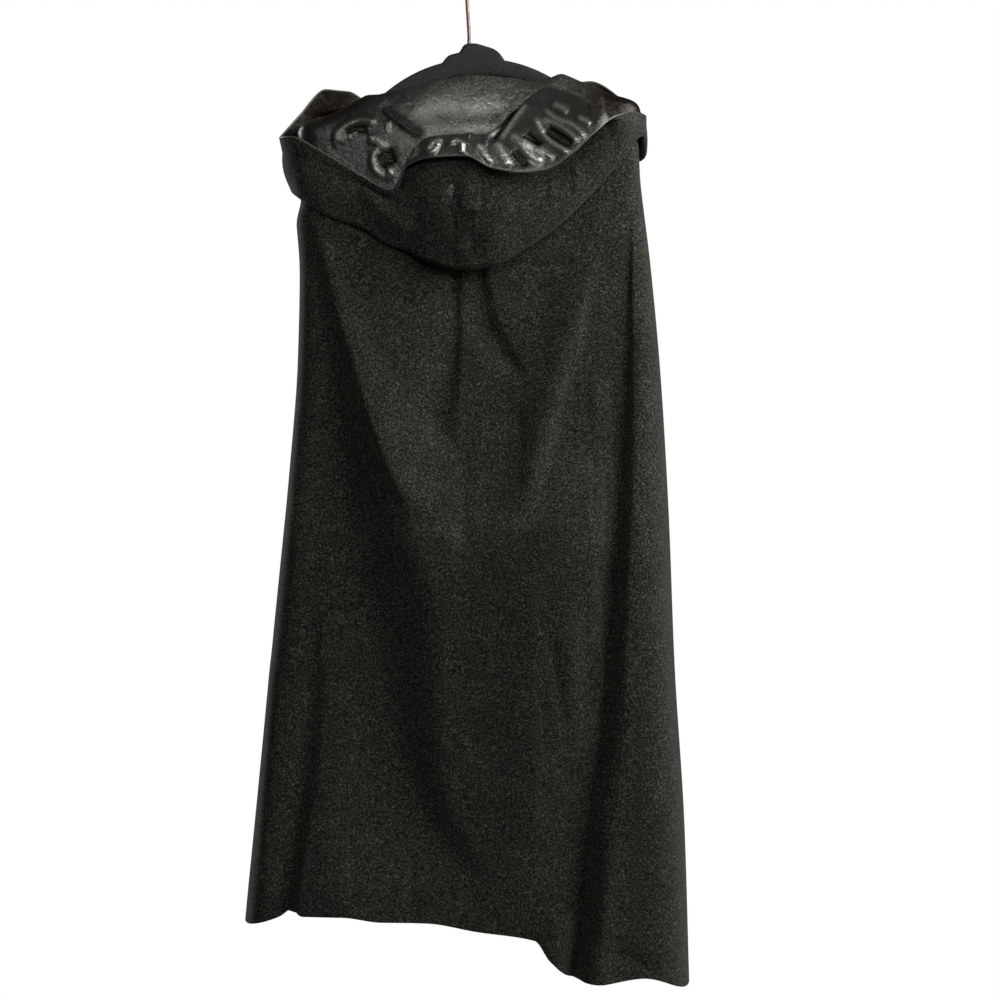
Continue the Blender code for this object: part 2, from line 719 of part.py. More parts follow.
def hanger_hook():
    """The wire hook, from its bore up and round the rail."""
    centre_z = WIRE / 2 - HOOK_RADIUS
    turns = [HOOK_START - HOOK_SWEEP * step / HOOK_STEPS for step in range(HOOK_STEPS + 1)]
    bend = [(HOOK_RADIUS * math.cos(turn), centre_z + HOOK_RADIUS * math.sin(turn)) for turn in turns]
    reach_x, reach_z = bend[0][0] - STEM_TOP[0], bend[0][1] - STEM_TOP[1]
    swell = [(STEM_TOP[0] + reach_x * out, STEM_TOP[1] + reach_z * up) for out, up in STEM_SWELL]
    points = [STEM_FOOT, STEM_OUT, STEM_TOP, *swell, *bend]
    wire = bpy.data.curves.new("hanger_hook", "CURVE")
    wire.dimensions = "3D"
    wire.bevel_depth = WIRE / 2 * MM
    wire.bevel_resolution = 2
    wire.use_fill_caps = True
    run = wire.splines.new("POLY")
    run.points.add(len(points) - 1)
    for spot, (x, z) in zip(run.points, points):
        spot.co = (x * MM, 0, z * MM, 1)
    piece = bpy.data.objects.new("hanger_hook", wire)
    bpy.context.collection.objects.link(piece)
    wire.materials.append(material("wire"))


clear_scene()
panel("front_left", 0.0, 0.25, FRONT_STEPS)
panel("back_left", 0.25, 0.5, BACK_STEPS)
panel("back_right", 0.5, 0.75, BACK_STEPS)
panel("front_right", 0.75, 1.0, FRONT_STEPS)
hood()
neck_closure()
hanger_bar()
hanger_hook()
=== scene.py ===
"""A hooded wool cloak with a satin-lined hood, hanging on a black hanger. Metres, +Z up.

The origin is the inside top of the hanger's hook, and the cloak's back faces -Y.
Tables are in millimetres; MM turns them into metres.

The cloak is one surface, body(around, down):
  around runs 0 at the left front edge, 1/4 at the left side, 1/2 at the centre
  back, 3/4 at the right side and 1 at the right front edge;
  down runs 0 at the neck seam to 1 at the hem.
Left and right are the wearer's, so left is -X.
"""

import math

import bmesh
import bpy
import numpy as np
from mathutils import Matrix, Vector


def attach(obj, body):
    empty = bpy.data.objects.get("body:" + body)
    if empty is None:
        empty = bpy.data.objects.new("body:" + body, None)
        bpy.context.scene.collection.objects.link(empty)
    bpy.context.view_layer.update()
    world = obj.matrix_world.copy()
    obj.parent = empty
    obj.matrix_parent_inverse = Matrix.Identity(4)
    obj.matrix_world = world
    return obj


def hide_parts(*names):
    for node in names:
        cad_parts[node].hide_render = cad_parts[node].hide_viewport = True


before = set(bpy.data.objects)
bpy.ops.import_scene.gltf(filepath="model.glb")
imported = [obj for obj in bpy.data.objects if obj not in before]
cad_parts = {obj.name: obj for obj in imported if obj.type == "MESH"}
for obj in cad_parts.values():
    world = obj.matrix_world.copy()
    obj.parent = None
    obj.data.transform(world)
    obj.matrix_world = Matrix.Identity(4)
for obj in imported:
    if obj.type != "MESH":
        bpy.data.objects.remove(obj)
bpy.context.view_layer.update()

MM = 0.001

# ---- cloth and sizes

WOOL = 2.0  # thickness of the coating wool
SATIN = 0.8  # thickness of the hood's satin lining
SEAM_LAP = 0.3  # two pieces that are sewn together press into each other
RIM = (0.0, 0.35, 1.1, 2.6)  # how the last rows stand from a cut edge
RIM_SHARE = (0.45, 0.8, 1.0, 1.0)  # and how much of the thickness each has
RIM_CLEAR = 1.5  # even rows keep this many times the last one's distance from the edge
SEAM_SHARE = (1.0,)  # the same at a seam, where two pieces press together
HEM_TURN = 26.0  # height of the turned-up hem
FACING = 34.0  # width of the front edges' turned facing
SEAM_ALLOWANCE = 11.0
TURN_EXTRA = 1.5  # a second layer of cloth adds this on the inside

# The cloak's sections from neck to hem. x_left and x_right are its side edges,
# x_seam its centre-back seam, depth_back and depth_front its reach either side
# of the hanger.
SECTIONS = (
    # name        down  x_left x_right x_seam depth_back depth_front
    ("neck", 0.000, -132, 125, 0, 20, 20),
    ("slope", 0.050, -176, 177, -2, 26, 25),
    ("point", 0.100, -217, 216, -5, 32, 30),
    ("armhole", 0.160, -218, 223, -8, 39, 37),
    ("blade", 0.250, -219, 236, -11, 48, 45),
    ("waist", 0.370, -222, 249, -12, 56, 53),
    ("hip", 0.500, -233, 258, -10, 63, 61),
    ("thigh", 0.670, -252, 266, -8, 69, 69),
    ("knee", 0.840, -271, 279, -6, 76, 76),
    ("hem", 1.000, -289, 285, -5, 84, 82),
)
LEFT_SIDE, CENTRE_BACK, RIGHT_SIDE = 0.25, 0.5, 0.75  # places around it
SIDE_POWERS = (22.0, 16.0)  # how flat it lies at its left and right: 2 is an ellipse

# Heights of the sections over the hanger's shoulders, which slope with it.
YOKE = (
    # down   z_left z_back z_right z_front
    (0.000, -193, -162, -165, -192),
    (0.050, -218, -200, -189, -220),
    (0.100, -239, -238, -205, -248),
    (0.160, -302, -302, -302, -302),
)
YOKE_END, YOKE_BOTTOM = YOKE[-1][:2]
# The back's neck seam droops either side of its middle, below the hanger's arch.
NECK_DROOP = (
    # x, drop
    (-132, 0), (-112, 8), (-72, 11), (-30, 7), (13, 4), (57, 7), (82, 11), (100, 7), (118, 0),
)
NECK_DROOP_END = 0.06  # how far down it reaches

# The hem, cut a little longer to the wearer's right.
BACK_HEM = (
    # x, z
    (-289, -1252), (-237, -1237), (-222, -1227), (-208, -1235), (-158, -1235), (-109, -1242),
    (-49, -1244), (10, -1254), (84, -1264), (103, -1289), (127, -1311), (165, -1316), (220, -1309),
    (285, -1331),
)
FRONT_HEM = (
    # x, z
    (-289, -1252), (-200, -1264), (-90, -1258), (0, -1270), (90, -1290), (200, -1305),
    (285, -1331),
)

# The two front edges part as they fall.
FRONT_GAP_NECK = 8.0
FRONT_GAP_HEM = 34.0

# Drops: the cloth falls from a crest to a foot, either way, and comes back over
# the recovery beyond it. Heights run from the top down.
BACK_DROPS = {
    "left sweep": (
        # z   crest  foot drop recovery
        (-340, -196, -206, 0, 900),
        (-396, -184, -198, 3, 900),
        (-460, -168, -192, 7, 900),
        (-515, -152, -183, 12, 900),
        (-586, -131, -172, 19, 900),
        (-677, -96, -157, 28, 900),
        (-737, -71, -149, 32, 900),
        (-788, -51, -145, 34, 900),
        (-845, -34, -134, 33, 900),
        (-901, -27, -119, 31, 900),
        (-958, -29, -107, 28, 900),
        (-1015, -29, -96, 24, 900),
        (-1072, -23, -73, 18, 900),
        (-1110, -9, -61, 14, 900),
        (-1140, 9, -41, 10, 900),
        (-1170, 29, -15, 6, 900),
        (-1204, 44, 30, 0, 900),
    ),
    "right arm": (
        (-396, 167, 174, 1, 80),
        (-463, 143, 158, 5, 80),
        (-515, 130, 151, 8, 80),
        (-554, 115, 138, 9, 80),
        (-616, 100, 120, 9, 80),
        (-677, 81, 102, 8, 80),
        (-718, 66, 86, 6, 80),
        (-750, 50, 66, 0, 80),
    ),
    "right hollow": (
        (-396, 165, 120, 2, 90),
        (-463, 141, 92, 6, 90),
        (-554, 113, 66, 8, 90),
        (-616, 98, 54, 8, 90),
        (-677, 79, 40, 7, 90),
        (-718, 64, 30, 4, 80),
        (-750, 48, 20, 0, 80),
    ),
    "right valley": (
        (-330, 210, 208, 0, 30),
        (-460, 210, 206, 6, 30),
        (-586, 210, 200, 9, 32),
        (-677, 207, 193, 11, 34),
        (-788, 203, 184, 13, 36),
        (-901, 201, 174, 15, 38),
        (-1015, 199, 165, 16, 40),
        (-1091, 191, 154, 17, 42),
        (-1167, 180, 150, 17, 44),
        (-1235, 176, 146, 17, 30),
        (-1320, 170, 132, 17, 18),
    ),
    "left slit": (
        (-800, -188, -192, 0, 24),
        (-838, -186, -192, 1, 24),
        (-901, -181, -195, 3, 24),
        (-973, -177, -198, 5, 24),
        (-1040, -184, -202, 6, 24),
        (-1091, -191, -208, 7, 24),
        (-1182, -206, -220, 8, 24),
        (-1260, -216, -226, 8, 24),
    ),
    "hood valley": (
        (-400, 18, 10, 0, 26),
        (-420, 24, 17, 4, 26),
        (-449, 33, 18, 7, 26),
        (-478, 42, 20, 8, 26),
        (-516, 59, 39, 7, 24),
        (-541, 71, 60, 4, 20),
        (-558, 79, 76, 0, 20),
    ),
    "centre seam": (
        (-385, -7, -12, 0, 14),
        (-405, -7, -12, 3, 16),
        (-434, -7, -16, 5, 18),
        (-510, -7, -17, 6, 20),
        (-554, -7, -23, 8, 24),
        (-605, -7, -38, 9, 28),
        (-636, -7, -26, 5, 24),
        (-662, -6, -10, 0, 20),
    ),
}

# Folds: ridges (rise > 0) and troughs (rise < 0), each along a path of (x, z)
# points, with its widths to the left and right and its rise at both ends.
BACK_FOLDS = (
    # name             path (x, z) from its top down                     left      right     rise
    ("left tension", ((-194, -350), (-151, -515), (-97, -677), (-60, -745)), (8, 8), (4, 56), (2, 10)),
    ("flare ridge", ((-172, -930), (-168, -1090), (-150, -1250)), (34, 50), (34, 50), (3, 8)),
    ("side swell", ((150, -640), (150, -900), (146, -1250)), (120, 110), (26, 26), (7, 8)),
    ("mid ridge", ((82, -790), (80, -960), (84, -1160)), (34, 38), (9, 12), (2, 2)),
    ("side ridge", ((130, -860), (132, -940), (128, -1020)), (22, 24), (9, 10), (3, 3)),
    ("right ridge", ((162, -540), (166, -640), (164, -780)), (10, 12), (9, 10), (3, 3)),
    ("inner trough", ((64, -590), (66, -680), (58, -750)), (12, 14), (12, 12), (-3, -3)),
    ("hem corner", ((128, -1230), (118, -1262), (110, -1320)), (20, 24), (10, 12), (6, 10)),
)
FRONT_FOLDS = (
    # name             path (x, z) from its top down                     left      right     rise
    ("left drape", ((-70, -250), (-110, -700), (-150, -1260)), (20, 34), (20, 34), (5, 26)),
    ("left hollow", ((-130, -300), (-175, -760), (-215, -1260)), (18, 26), (18, 26), (-4, -22)),
    ("left edge", ((-20, -230), (-34, -700), (-52, -1260)), (16, 26), (16, 26), (3, 18)),
    ("right drape", ((80, -250), (118, -720), (140, -1280)), (22, 36), (22, 36), (5, 24)),
    ("right hollow", ((140, -300), (178, -760), (206, -1290)), (18, 28), (18, 28), (-5, -26)),
    ("right edge", ((24, -230), (44, -700), (58, -1270)), (16, 28), (16, 28), (3, 15)),
)
FOLD_ENDS = 0.14  # the share of a fold's length over which it fades in and out
HEM_REACH = -1200.0  # a fold that ends below this runs out through the hem

# The rows of cloth run with the right valley below the shoulders.
VALLEY_AROUND = 0.6625
VALLEY_START = -330.0
VALLEY_BLEND = 170.0

# The swag: the back hangs between the shoulders in a U, fullest along its lip.
SWAG_LIP = (
    # x, z
    (-200, -300), (-186, -350), (-155, -460), (-137, -525), (-118, -590), (-90, -677), (-62, -733),
    (-33, -760), (-4, -781), (15, -773), (50, -754), (66, -726), (81, -680), (100, -616),
    (130, -515), (167, -396), (190, -330),
)
# How far the lip and all the back outside the U stand out at each height.
SWAG_LEVELS = (
    # z, out
    (-330, 0), (-460, 4), (-560, 11), (-640, 19), (-700, 27), (-781, 36), (-850, 33), (-1000, 24),
    (-1150, 13), (-1300, 2),
)
SWAG_FALL = 105.0  # how fast the cloth falls away inside the U
SWAG_TURN = 5.0  # radius of the lip's edge

# The strip right of the right valley swings back toward the viewer as it falls,
# and the strip left of the left slit hangs behind it.
RIGHT_STRIP = ((-330, 0), (-700, 6), (-1000, 13), (-1300, 22))
LEFT_STRIP = ((-800, 0), (-1050, -3), (-1250, -5))
STRIP_EDGE = 20.0

# The hood hangs open down the back. For each place around the neck: the height
# of its bottom fold, its face edge, how far the outer wall bellies out and how
# high the lip stands whose lining rolls over to the face edge.
HOOD = (
    # around z_bottom  face x,   y,    z   belly lip
    (0.000, -206, -7, 30, -187, 2, 3),
    (0.070, -216, -62, 41, -182, 4, 3),
    (0.130, -236, -126, 47, -190, 6, 3),
    (0.160, -254, -160, 44, -173, 7, 3),
    (0.190, -272, -188, 34, -172, 7, 3),
    (0.225, -298, -221, 18, -208, 5, 3),
    (0.255, -312, -243, -16, -243, 4, 3),
    (0.290, -324, -222, -44, -249, 2, 5),
    (0.350, -352, -178, -53, -274, 2, 7),
    (0.400, -368, -131, -61, -303, 3, 10),
    (0.428, -388, -97, -69, -320, 5, 10),
    (0.448, -396, -77, -80, -290, 9, 15),
    (0.470, -410, -46, -94, -282, 15, 24),
    (0.500, -420, -4, -99, -281, 20, 26),
    (0.525, -416, 30, -103, -297, 20, 44),
    (0.550, -397, 66, -106, -303, 18, 88),
    (0.575, -374, 98, -104, -299, 14, 109),
    (0.605, -344, 128, -106, -281, 8, 81),
    (0.640, -306, 157, -103, -254, 2, 36),
    (0.680, -268, 182, -86, -231, 1, 12),
    (0.706, -248, 197, -68, -223, 1, 6),
    (0.725, -243, 208, -48, -217, 1, 4),
    (0.755, -264, 228, -4, -213, 1, 3),
    (0.790, -268, 206, 32, -190, 4, 3),
    (0.830, -246, 160, 42, -160, 6, 3),
    (0.880, -230, 110, 44, -168, 5, 3),
    (0.940, -214, 50, 38, -180, 3, 3),
    (1.000, -206, 7, 30, -187, 2, 3),
)
LIP_LEAN = 0.5  # how far the lip leans in over its height
LIP_TOP = 7.5  # across the top of the lip
LIP_LEAST = 5.0  # a lip this low doesn't roll over
LIP_FULL = 22.0  # and one this high does so fully
LIP_LOW_STARTS = (0.3, 0.15)  # where a low lip's rows stand, as shares of the outer wall
HOOD_SEAM_CLEAR = 1.4  # between the hood and the cloak at the neck seam
HOOD_CLEAR = 6.0  # and up to this much more further down
HOOD_CLEAR_THIN = (1, 0.5)  # or, where the hood hangs thin, this and a share of its belly
HOOD_PLY_GAP = 0.7  # between the hood's wool and its lining
HOOD_ROLL = (1.6, 0.25)  # the roll at the hood's bottom: its least radius, and the belly's share in it
HOOD_DEEPEST = 0.45  # no part of the hood hangs lower down the cloak than this
HOOD_DEPTHS = 181  # how many depths are tried to find its bottom
PIPING = 1.3  # radius of the rolled satin edge round the hood's face
LIP_SWELL = 0.06  # how far the lip's face swells, as a share of its height

# Creases, each along a path of (x, z) points as seen from behind, with its widths on
# either side and its rise (a trough's is below 0).
BACK_CREASES = (
    # name            path (x, z)                                      widths   rise
    ("shoulder dent", ((-93, -462), (-60, -468), (-26, -466)), (12, 14), -2.4),
    ("upper cross", ((-20, -935), (30, -938), (78, -942)), (5, 7), -1.4),
    ("lower cross", ((-5, -1014), (12, -1004), (29, -998)), (5, 6), -1.2),
    ("hem crease", ((180, -1274), (208, -1287), (237, -1304)), (3, 8), -3.0),
    ("side dip", ((104, -882), (112, -945), (122, -1006)), (6, 9), -2.2),
    ("side line", ((150, -788), (160, -870), (166, -976)), (8, 6), 2.2),
    ("arm line", ((172, -567), (178, -660), (178, -769)), (5, 5), 2.2),
    ("arm dip", ((157, -647), (158, -700), (157, -753)), (3, 4), -1.6),
    ("left fall", ((-146, -1100), (-144, -1160), (-144, -1225)), (7, 7), -1.8),
    ("middle fall", ((-70, -1160), (-69, -1200), (-68, -1245)), (7, 7), -1.4),
    ("under hood", ((-216, -322), (-190, -346), (-128, -376), (-60, -414)), (45, 5), 7.5),
    ("side rise", ((150, -600), (150, -900), (146, -1400)), (110, 24), 5.0),
    ("strip fall", ((-246, -900), (-252, -1000), (-262, -1180)), (8, 10), 1.6),
)
HOOD_CREASES = (
    # name            path (x, z)                                      widths   rise
    ("pouch fold", ((-19, -301), (-23, -332), (-5, -376), (25, -412)), (5, 10), -3.2),
    ("pouch ridge", ((2, -347), (28, -343), (59, -338)), (4, 6), 3.2),
    ("pouch point", ((-8, -350), (3, -346), (15, -347)), (4, 6), 5.0),
    ("left tuck", ((-101, -292), (-87, -311), (-74, -326)), (4, 9), -6.0),
    ("left bulge", ((-136, -312), (-108, -346), (-72, -374)), (9, 12), 4.5),
    ("right streak", ((104, -304), (105, -320), (104, -336)), (3, 5), 1.8),
    ("far streak", ((134, -286), (136, -304), (135, -324)), (3, 5), 1.8),
)
FAR_CREASES = (
    # name            path (x, z)                                      widths   rise
    ("upper band", ((-80, -212), (-49, -207), (-3, -209), (52, -201)), (8, 12), 1.3),
    ("middle band", ((-50, -223), (0, -222), (50, -216)), (6, 9), -0.8),
    ("lower band", ((-60, -240), (-10, -238), (40, -232)), (7, 10), 0.9),
    ("seat", ((-40, -256), (0, -258), (36, -254)), (6, 9), -1.4),
    ("left fold", ((-114, -206), (-88, -229), (-58, -251)), (3, 7), -2.2),
    ("left line", ((-217, -231), (-201, -225), (-186, -220)), (3, 6), 2.6),
    ("leaf top", ((-175, -253), (-161, -236), (-139, -227), (-116, -230)), (2, 3), 4.0),
    ("leaf bottom", ((-175, -253), (-158, -247), (-140, -240)), (2, 2), 3.2),
    ("leaf hollow", ((-160, -243), (-148, -238), (-128, -236)), (3, 3), -2.4),
    ("fleck", ((-107, -228), (-104, -235), (-103, -243)), (2, 3), 2.6),
    ("wave", ((-130, -250), (-120, -252), (-103, -262)), (2, 4), 4.0),
    ("curl", ((-101, -262), (-117, -265), (-124, -278), (-119, -290), (-106, -300)), (2, 3), 4.2),
    ("curl hollow", ((-108, -266), (-105, -275), (-104, -284)), (6, 6), -4.5),
    ("glint", ((-104, -292), (-99, -294), (-94, -293)), (4, 4), 6.0),
)
LIP_CREASES = (
    # name            path (x, z)                                      widths   rise
    ("first ridge", ((64, -198), (45, -226), (23, -260)), (2, 3), 3.4),
    ("ridge valley", ((70, -206), (54, -228), (31, -262)), (2, 2), -2.4),
    ("second ridge", ((74, -208), (64, -221), (38, -262)), (2, 3), 3.0),
    ("gather 1", ((105, -213), (116, -219), (126, -227)), (2, 4), 3.2),
    ("gather 2", ((94, -217), (107, -231), (132, -245), (149, -263)), (2, 3), 3.2),
    ("gather 3", ((90, -232), (108, -240), (122, -250), (140, -267)), (2, 3), 3.4),
    ("gather 4", ((84, -228), (87, -240), (100, -262), (129, -282)), (2, 3), 4.0),
    ("gather 5", ((64, -261), (90, -275), (109, -288)), (2, 4), 3.2),
    ("gather 6", ((50, -253), (66, -267), (78, -281), (94, -293)), (3, 4), 4.2),
    ("gather 7", ((32, -264), (42, -280), (51, -298)), (4, 4), 4.4),
    ("gather 8", ((10, -266), (18, -278), (29, -293)), (2, 3), 3.6),
    ("edge crinkle", ((136, -233), (145, -238), (154, -244)), (2, 3), 3.2),
    ("upper hollow", ((96, -246), (112, -256), (130, -270)), (4, 5), -2.6),
    ("lower hollow", ((70, -252), (82, -262), (92, -270)), (4, 4), -2.6),
    ("edge hollow", ((56, -274), (66, -286), (74, -296)), (3, 3), -2.4),
    ("leaf 1", ((-78, -280), (-72, -271), (-64, -270), (-67, -279), (-74, -283), (-78, -280)), (2, 2), 4.0),
    ("leaf 2", ((-52, -277), (-43, -264), (-35, -261), (-39, -270), (-46, -277), (-52, -277)), (2, 2), 4.0),
    ("leaf 3", ((-23, -268), (-16, -262), (-7, -267), (-7, -277), (-14, -277)), (2, 2), 4.0),
)
SATIN_SOFT = (1.45, 0.75)  # the satin's creases are this much wider and lower than drawn
CREASE_STEPS = 16  # how finely a crease's path is followed
CREASE_FADE = 0.14  # the share of its length over which it fades at each end
CREASE_CLEAR = 3.5  # creases fade out this near the hood's edge

# Stitching
STITCH_IN = 5.0  # in from an edge
STITCH_PITCH = 3.6
STITCH_LENGTH = 2.6
STITCH_BALL = {"Segments": 6, "Rings": 5, "Radius": 0.5}
THREAD = 0.5
stitch_lines = {}  # filled as the pieces are made

CLOAK_LENGTH = 1080.0  # neck seam to hem along the cloth
HOOD_AROUND = 420.0  # half of the hood along its face
TURN_STEP = 1.5  # how sharply a turned edge's layer ends
NORMAL_STEP = 0.002  # how far off, around or down, its neighbours are that give a point's normal
SHARP = 50.0  # cloth that turns by more degrees than this shows an edge
DOME_TURNS = (82, 55, 28)  # how the end of a tube is rounded, in degrees

# The hanger's bar: an arch, two straight arms and a low crown that holds the hook.
ARCH_RADIUS = 187.0
ARCH_HALF = 122.0
ARM_REACH = 204.0
ARM_DROP = 46.0
BAR_HEIGHT = 25.0
BAR_END_HEIGHT = 18.0
BAR_THICKNESS = 12.0
BAR_TOP = -138.5
BAR_TILT = math.radians(4.0)
BAR_SQUARENESS = 0.42  # how square its section is: 1 is an ellipse, 0 a rectangle
BAR_END = 7.0  # over which its ends are rounded
BAR_TIP = 0.02  # how much of its section's square is left at the very end
BAR_SIDES = 28
BAR_COLUMNS = {"arms": 120, "end": 7, "crown": 60}
CROWN_SPAN = (-36, 47)
CROWN = (
    # x, rise
    (-35, 0), (-30, 5), (-24, 8), (-17, 8.6), (-13, 9), (-5, 18), (0, 19.6), (8, 19.4), (22, 16),
    (33, 13), (40, 8.5), (46, 0),
)

# The hook
WIRE = 5.0
WIRE_SIDES = 24
HOOK_RADIUS = 22.0  # to the wire's middle
HOOK_SWEEP = math.radians(215.0)
HOOK_START = math.radians(225.0)
STEM = ((0.0, -130.0), (0.0, -116.0), (-2.6, -66.0))
STEM_SWELL = ((0.03, 0.25), (0.3, 0.6))  # its turn into the bend, out and up
HOOK_STEPS = {"bend": 60, "stem": 40}

# The neck closure: a tab sewn on the left front and buttoned on the right front
TAB_AROUND = (0.045, 0.955)  # where its cut ends on each front
TAB_DOWN = (0.055, 0.085)  # its upper and lower edge
TAB_THICKNESS = 1.5
TAB_CLEAR = 0.5  # it lies this far off the fronts
TAB_ROUNDED = 0.14  # the share of its length over which its free end is rounded
TAB_TIP = 0.97  # how far round its end goes
TAB_STEPS = (24, 18)  # even rows along each half of it, and across
TAB_SPANS = (52, 32)  # the lengths that its close rows at the edges are measured by
TAB_STITCHED = 0.72  # its stitches' place across, from its middle
BUTTON_AROUND = 0.965
BUTTON_LIFT = 4.6  # the button's middle above the front
BUTTON_PROFILE = (
    # radius height
    (0.01, 0.7), (5.0, 0.8), (6.0, 1.6), (7.2, 2.0), (8.2, 1.7), (9.0, 0.6),
    (9.0, -0.8), (8.0, -2.0), (0.01, -2.0),
)
BUTTON_SIDES = 48
BUTTON_HOLE = 0.85
BUTTON_HOLES_APART = 4.0
BORE_ENDS = (-3.0, 3.0)
BORE_SIDES_IN = 3  # a hole has one side for this many of the button's
THREAD_OVER = (1.1, 0.35)  # the button's thread: its height, and its arch
THREAD_DIP = (0.46, 2.4)  # how near its ends, from its middle, it dips, and how deep
THREAD_STEPS = 12

# The cloak's panels, and how finely the pieces are made
PANELS = (
    # name              start         finish columns width
    ("front_left", 0.0, LEFT_SIDE, 70, 290),
    ("back_left", LEFT_SIDE, CENTRE_BACK, 112, 300),
    ("back_right", CENTRE_BACK, RIGHT_SIDE, 112, 310),
    ("front_right", RIGHT_SIDE, 1.0, 70, 300),
)
PANEL_ROWS = 210
HOOD_COLUMNS = 250
HOOD_ROWS = {"inner": 40, "roll": 7, "outer": 22, "crest": 7, "face": 54}


# ---- the cloth's shape


def curve(rows, at, column=1):
    """Reads a column of a table at any place of its first column, with no overshoot."""
    places = np.array([row[0] for row in rows], dtype=float)
    values = np.array([row[column] for row in rows], dtype=float)
    if places[0] > places[-1]:
        places, values = places[::-1], values[::-1]
    steps = np.diff(places)
    slopes = np.diff(values) / steps
    tangents = np.zeros(len(places))
    tangents[0], tangents[-1] = slopes[0], slopes[-1]
    turning = slopes[:-1] * slopes[1:] > 0
    means = 2 * slopes[:-1] * slopes[1:] / np.where(turning, slopes[:-1] + slopes[1:], 1)
    tangents[1:-1] = np.where(turning, means, 0)
    at = np.clip(np.asarray(at, dtype=float), places[0], places[-1])
    row = np.clip(np.searchsorted(places, at, side="right") - 1, 0, len(steps) - 1)
    share = (at - places[row]) / steps[row]
    start = (1 + 2 * share) * (1 - share) ** 2 * values[row]
    finish = share**2 * (3 - 2 * share) * values[row + 1]
    lean = share * (1 - share) ** 2 * tangents[row] - share**2 * (1 - share) * tangents[row + 1]
    return start + finish + lean * steps[row]


def smooth(value):
    """0 below 0, 1 above 1 and an S between."""
    value = np.clip(value, 0, 1)
    return value * value * (3 - 2 * value)


def between(first, last, share):
    """A share of the way from the first to the last."""
    return first + (last - first) * share


def within(width, distance):
    """1 up to a width and 0 beyond it, with a short S between."""
    return smooth((width - distance) / TURN_STEP + 0.5)


def unit(vectors):
    """Vectors made 1 long."""
    return vectors / np.linalg.norm(vectors, axis=-1, keepdims=True)


def circle(sides):
    """Even turns, once round."""
    return np.linspace(0, 2 * math.pi, sides, endpoint=False)


def fold(row, x, z):
    """How far one fold lifts the cloth at x, z."""
    _, path, left, right, rise = row
    z_top, z_end = path[0][1], path[-1][1]
    fallen = (z_top - z) / (z_top - z_end)
    share = np.clip(fallen, 0, 1)
    fade = smooth(fallen / FOLD_ENDS)
    if z_end > HEM_REACH:
        fade = fade * smooth((1 - fallen) / FOLD_ENDS)
    off = x - curve([(z_at, x_at) for x_at, z_at in path], z)
    width = between(*(np.where(off < 0, a, b) for a, b in zip(left, right)), share)
    return between(*rise, share) * fade * np.exp(-((off / width) ** 2))


def drop(rows, x, z):
    """How far the cloth falls at x, z, down one side of a fold."""
    crest, foot, depth, recovery = (curve(rows, z, column) for column in (1, 2, 3, 4))
    share = (crest - x) / (crest - foot)
    beyond = np.clip(share - 1, 0, None) * np.abs(crest - foot)
    return -depth * smooth(share) * np.exp(-((beyond / recovery) ** 2))


def swag(x, z):
    """The U-shaped fullness between the shoulders."""
    lip = curve(SWAG_LIP, x)
    steep = ((curve(SWAG_LIP, x + 2) - lip) / 2) ** 2
    above = np.clip(z - lip, 0, None)
    from_lip = np.sqrt(above**2 / (1 + steep) + SWAG_TURN**2) - SWAG_TURN
    nearest = np.minimum(z, lip) + above * steep / (1 + steep)
    return curve(SWAG_LEVELS, nearest) * np.exp(-from_lip / SWAG_FALL)


def foot_x(name, z):
    """Where the foot of a named drop of the back runs at height z."""
    return curve(BACK_DROPS[name], z, 2)


def back_relief(x, z):
    """All the folds of the back, outward from its plain section."""
    lift = swag(x, z)
    for rows in BACK_DROPS.values():
        lift = lift + drop(rows, x, z)
    for row in BACK_FOLDS:
        lift = lift + fold(row, x, z)
    lift = lift + curve(RIGHT_STRIP, z) * smooth((x - foot_x("right valley", z)) / STRIP_EDGE)
    return lift + curve(LEFT_STRIP, z) * smooth((foot_x("left slit", z) - x) / STRIP_EDGE + 0.5)


def front_relief(x, z):
    """All the folds of the fronts, outward from their plain section."""
    lift = np.zeros_like(x)
    for row in FRONT_FOLDS:
        lift = lift + fold(row, x, z)
    return lift


def with_valley(across, down, seam, right):
    """Bends the right back's rows of cloth so that one of them follows the valley."""
    z = YOKE_BOTTOM + (BACK_HEM[-3][1] - YOKE_BOTTOM) * (down - YOKE_END) / (1 - YOKE_END)
    straight = math.sin((VALLEY_AROUND - CENTRE_BACK) * 2 * math.pi)
    along = (foot_x("right valley", z) - seam) / (right - seam)
    bent = between(straight, along, smooth((VALLEY_START - z) / VALLEY_BLEND))
    inner = across / straight * bent
    outer = bent + (across - straight) / (1 - straight) * (1 - bent)
    return np.where(across < straight, inner, outer)


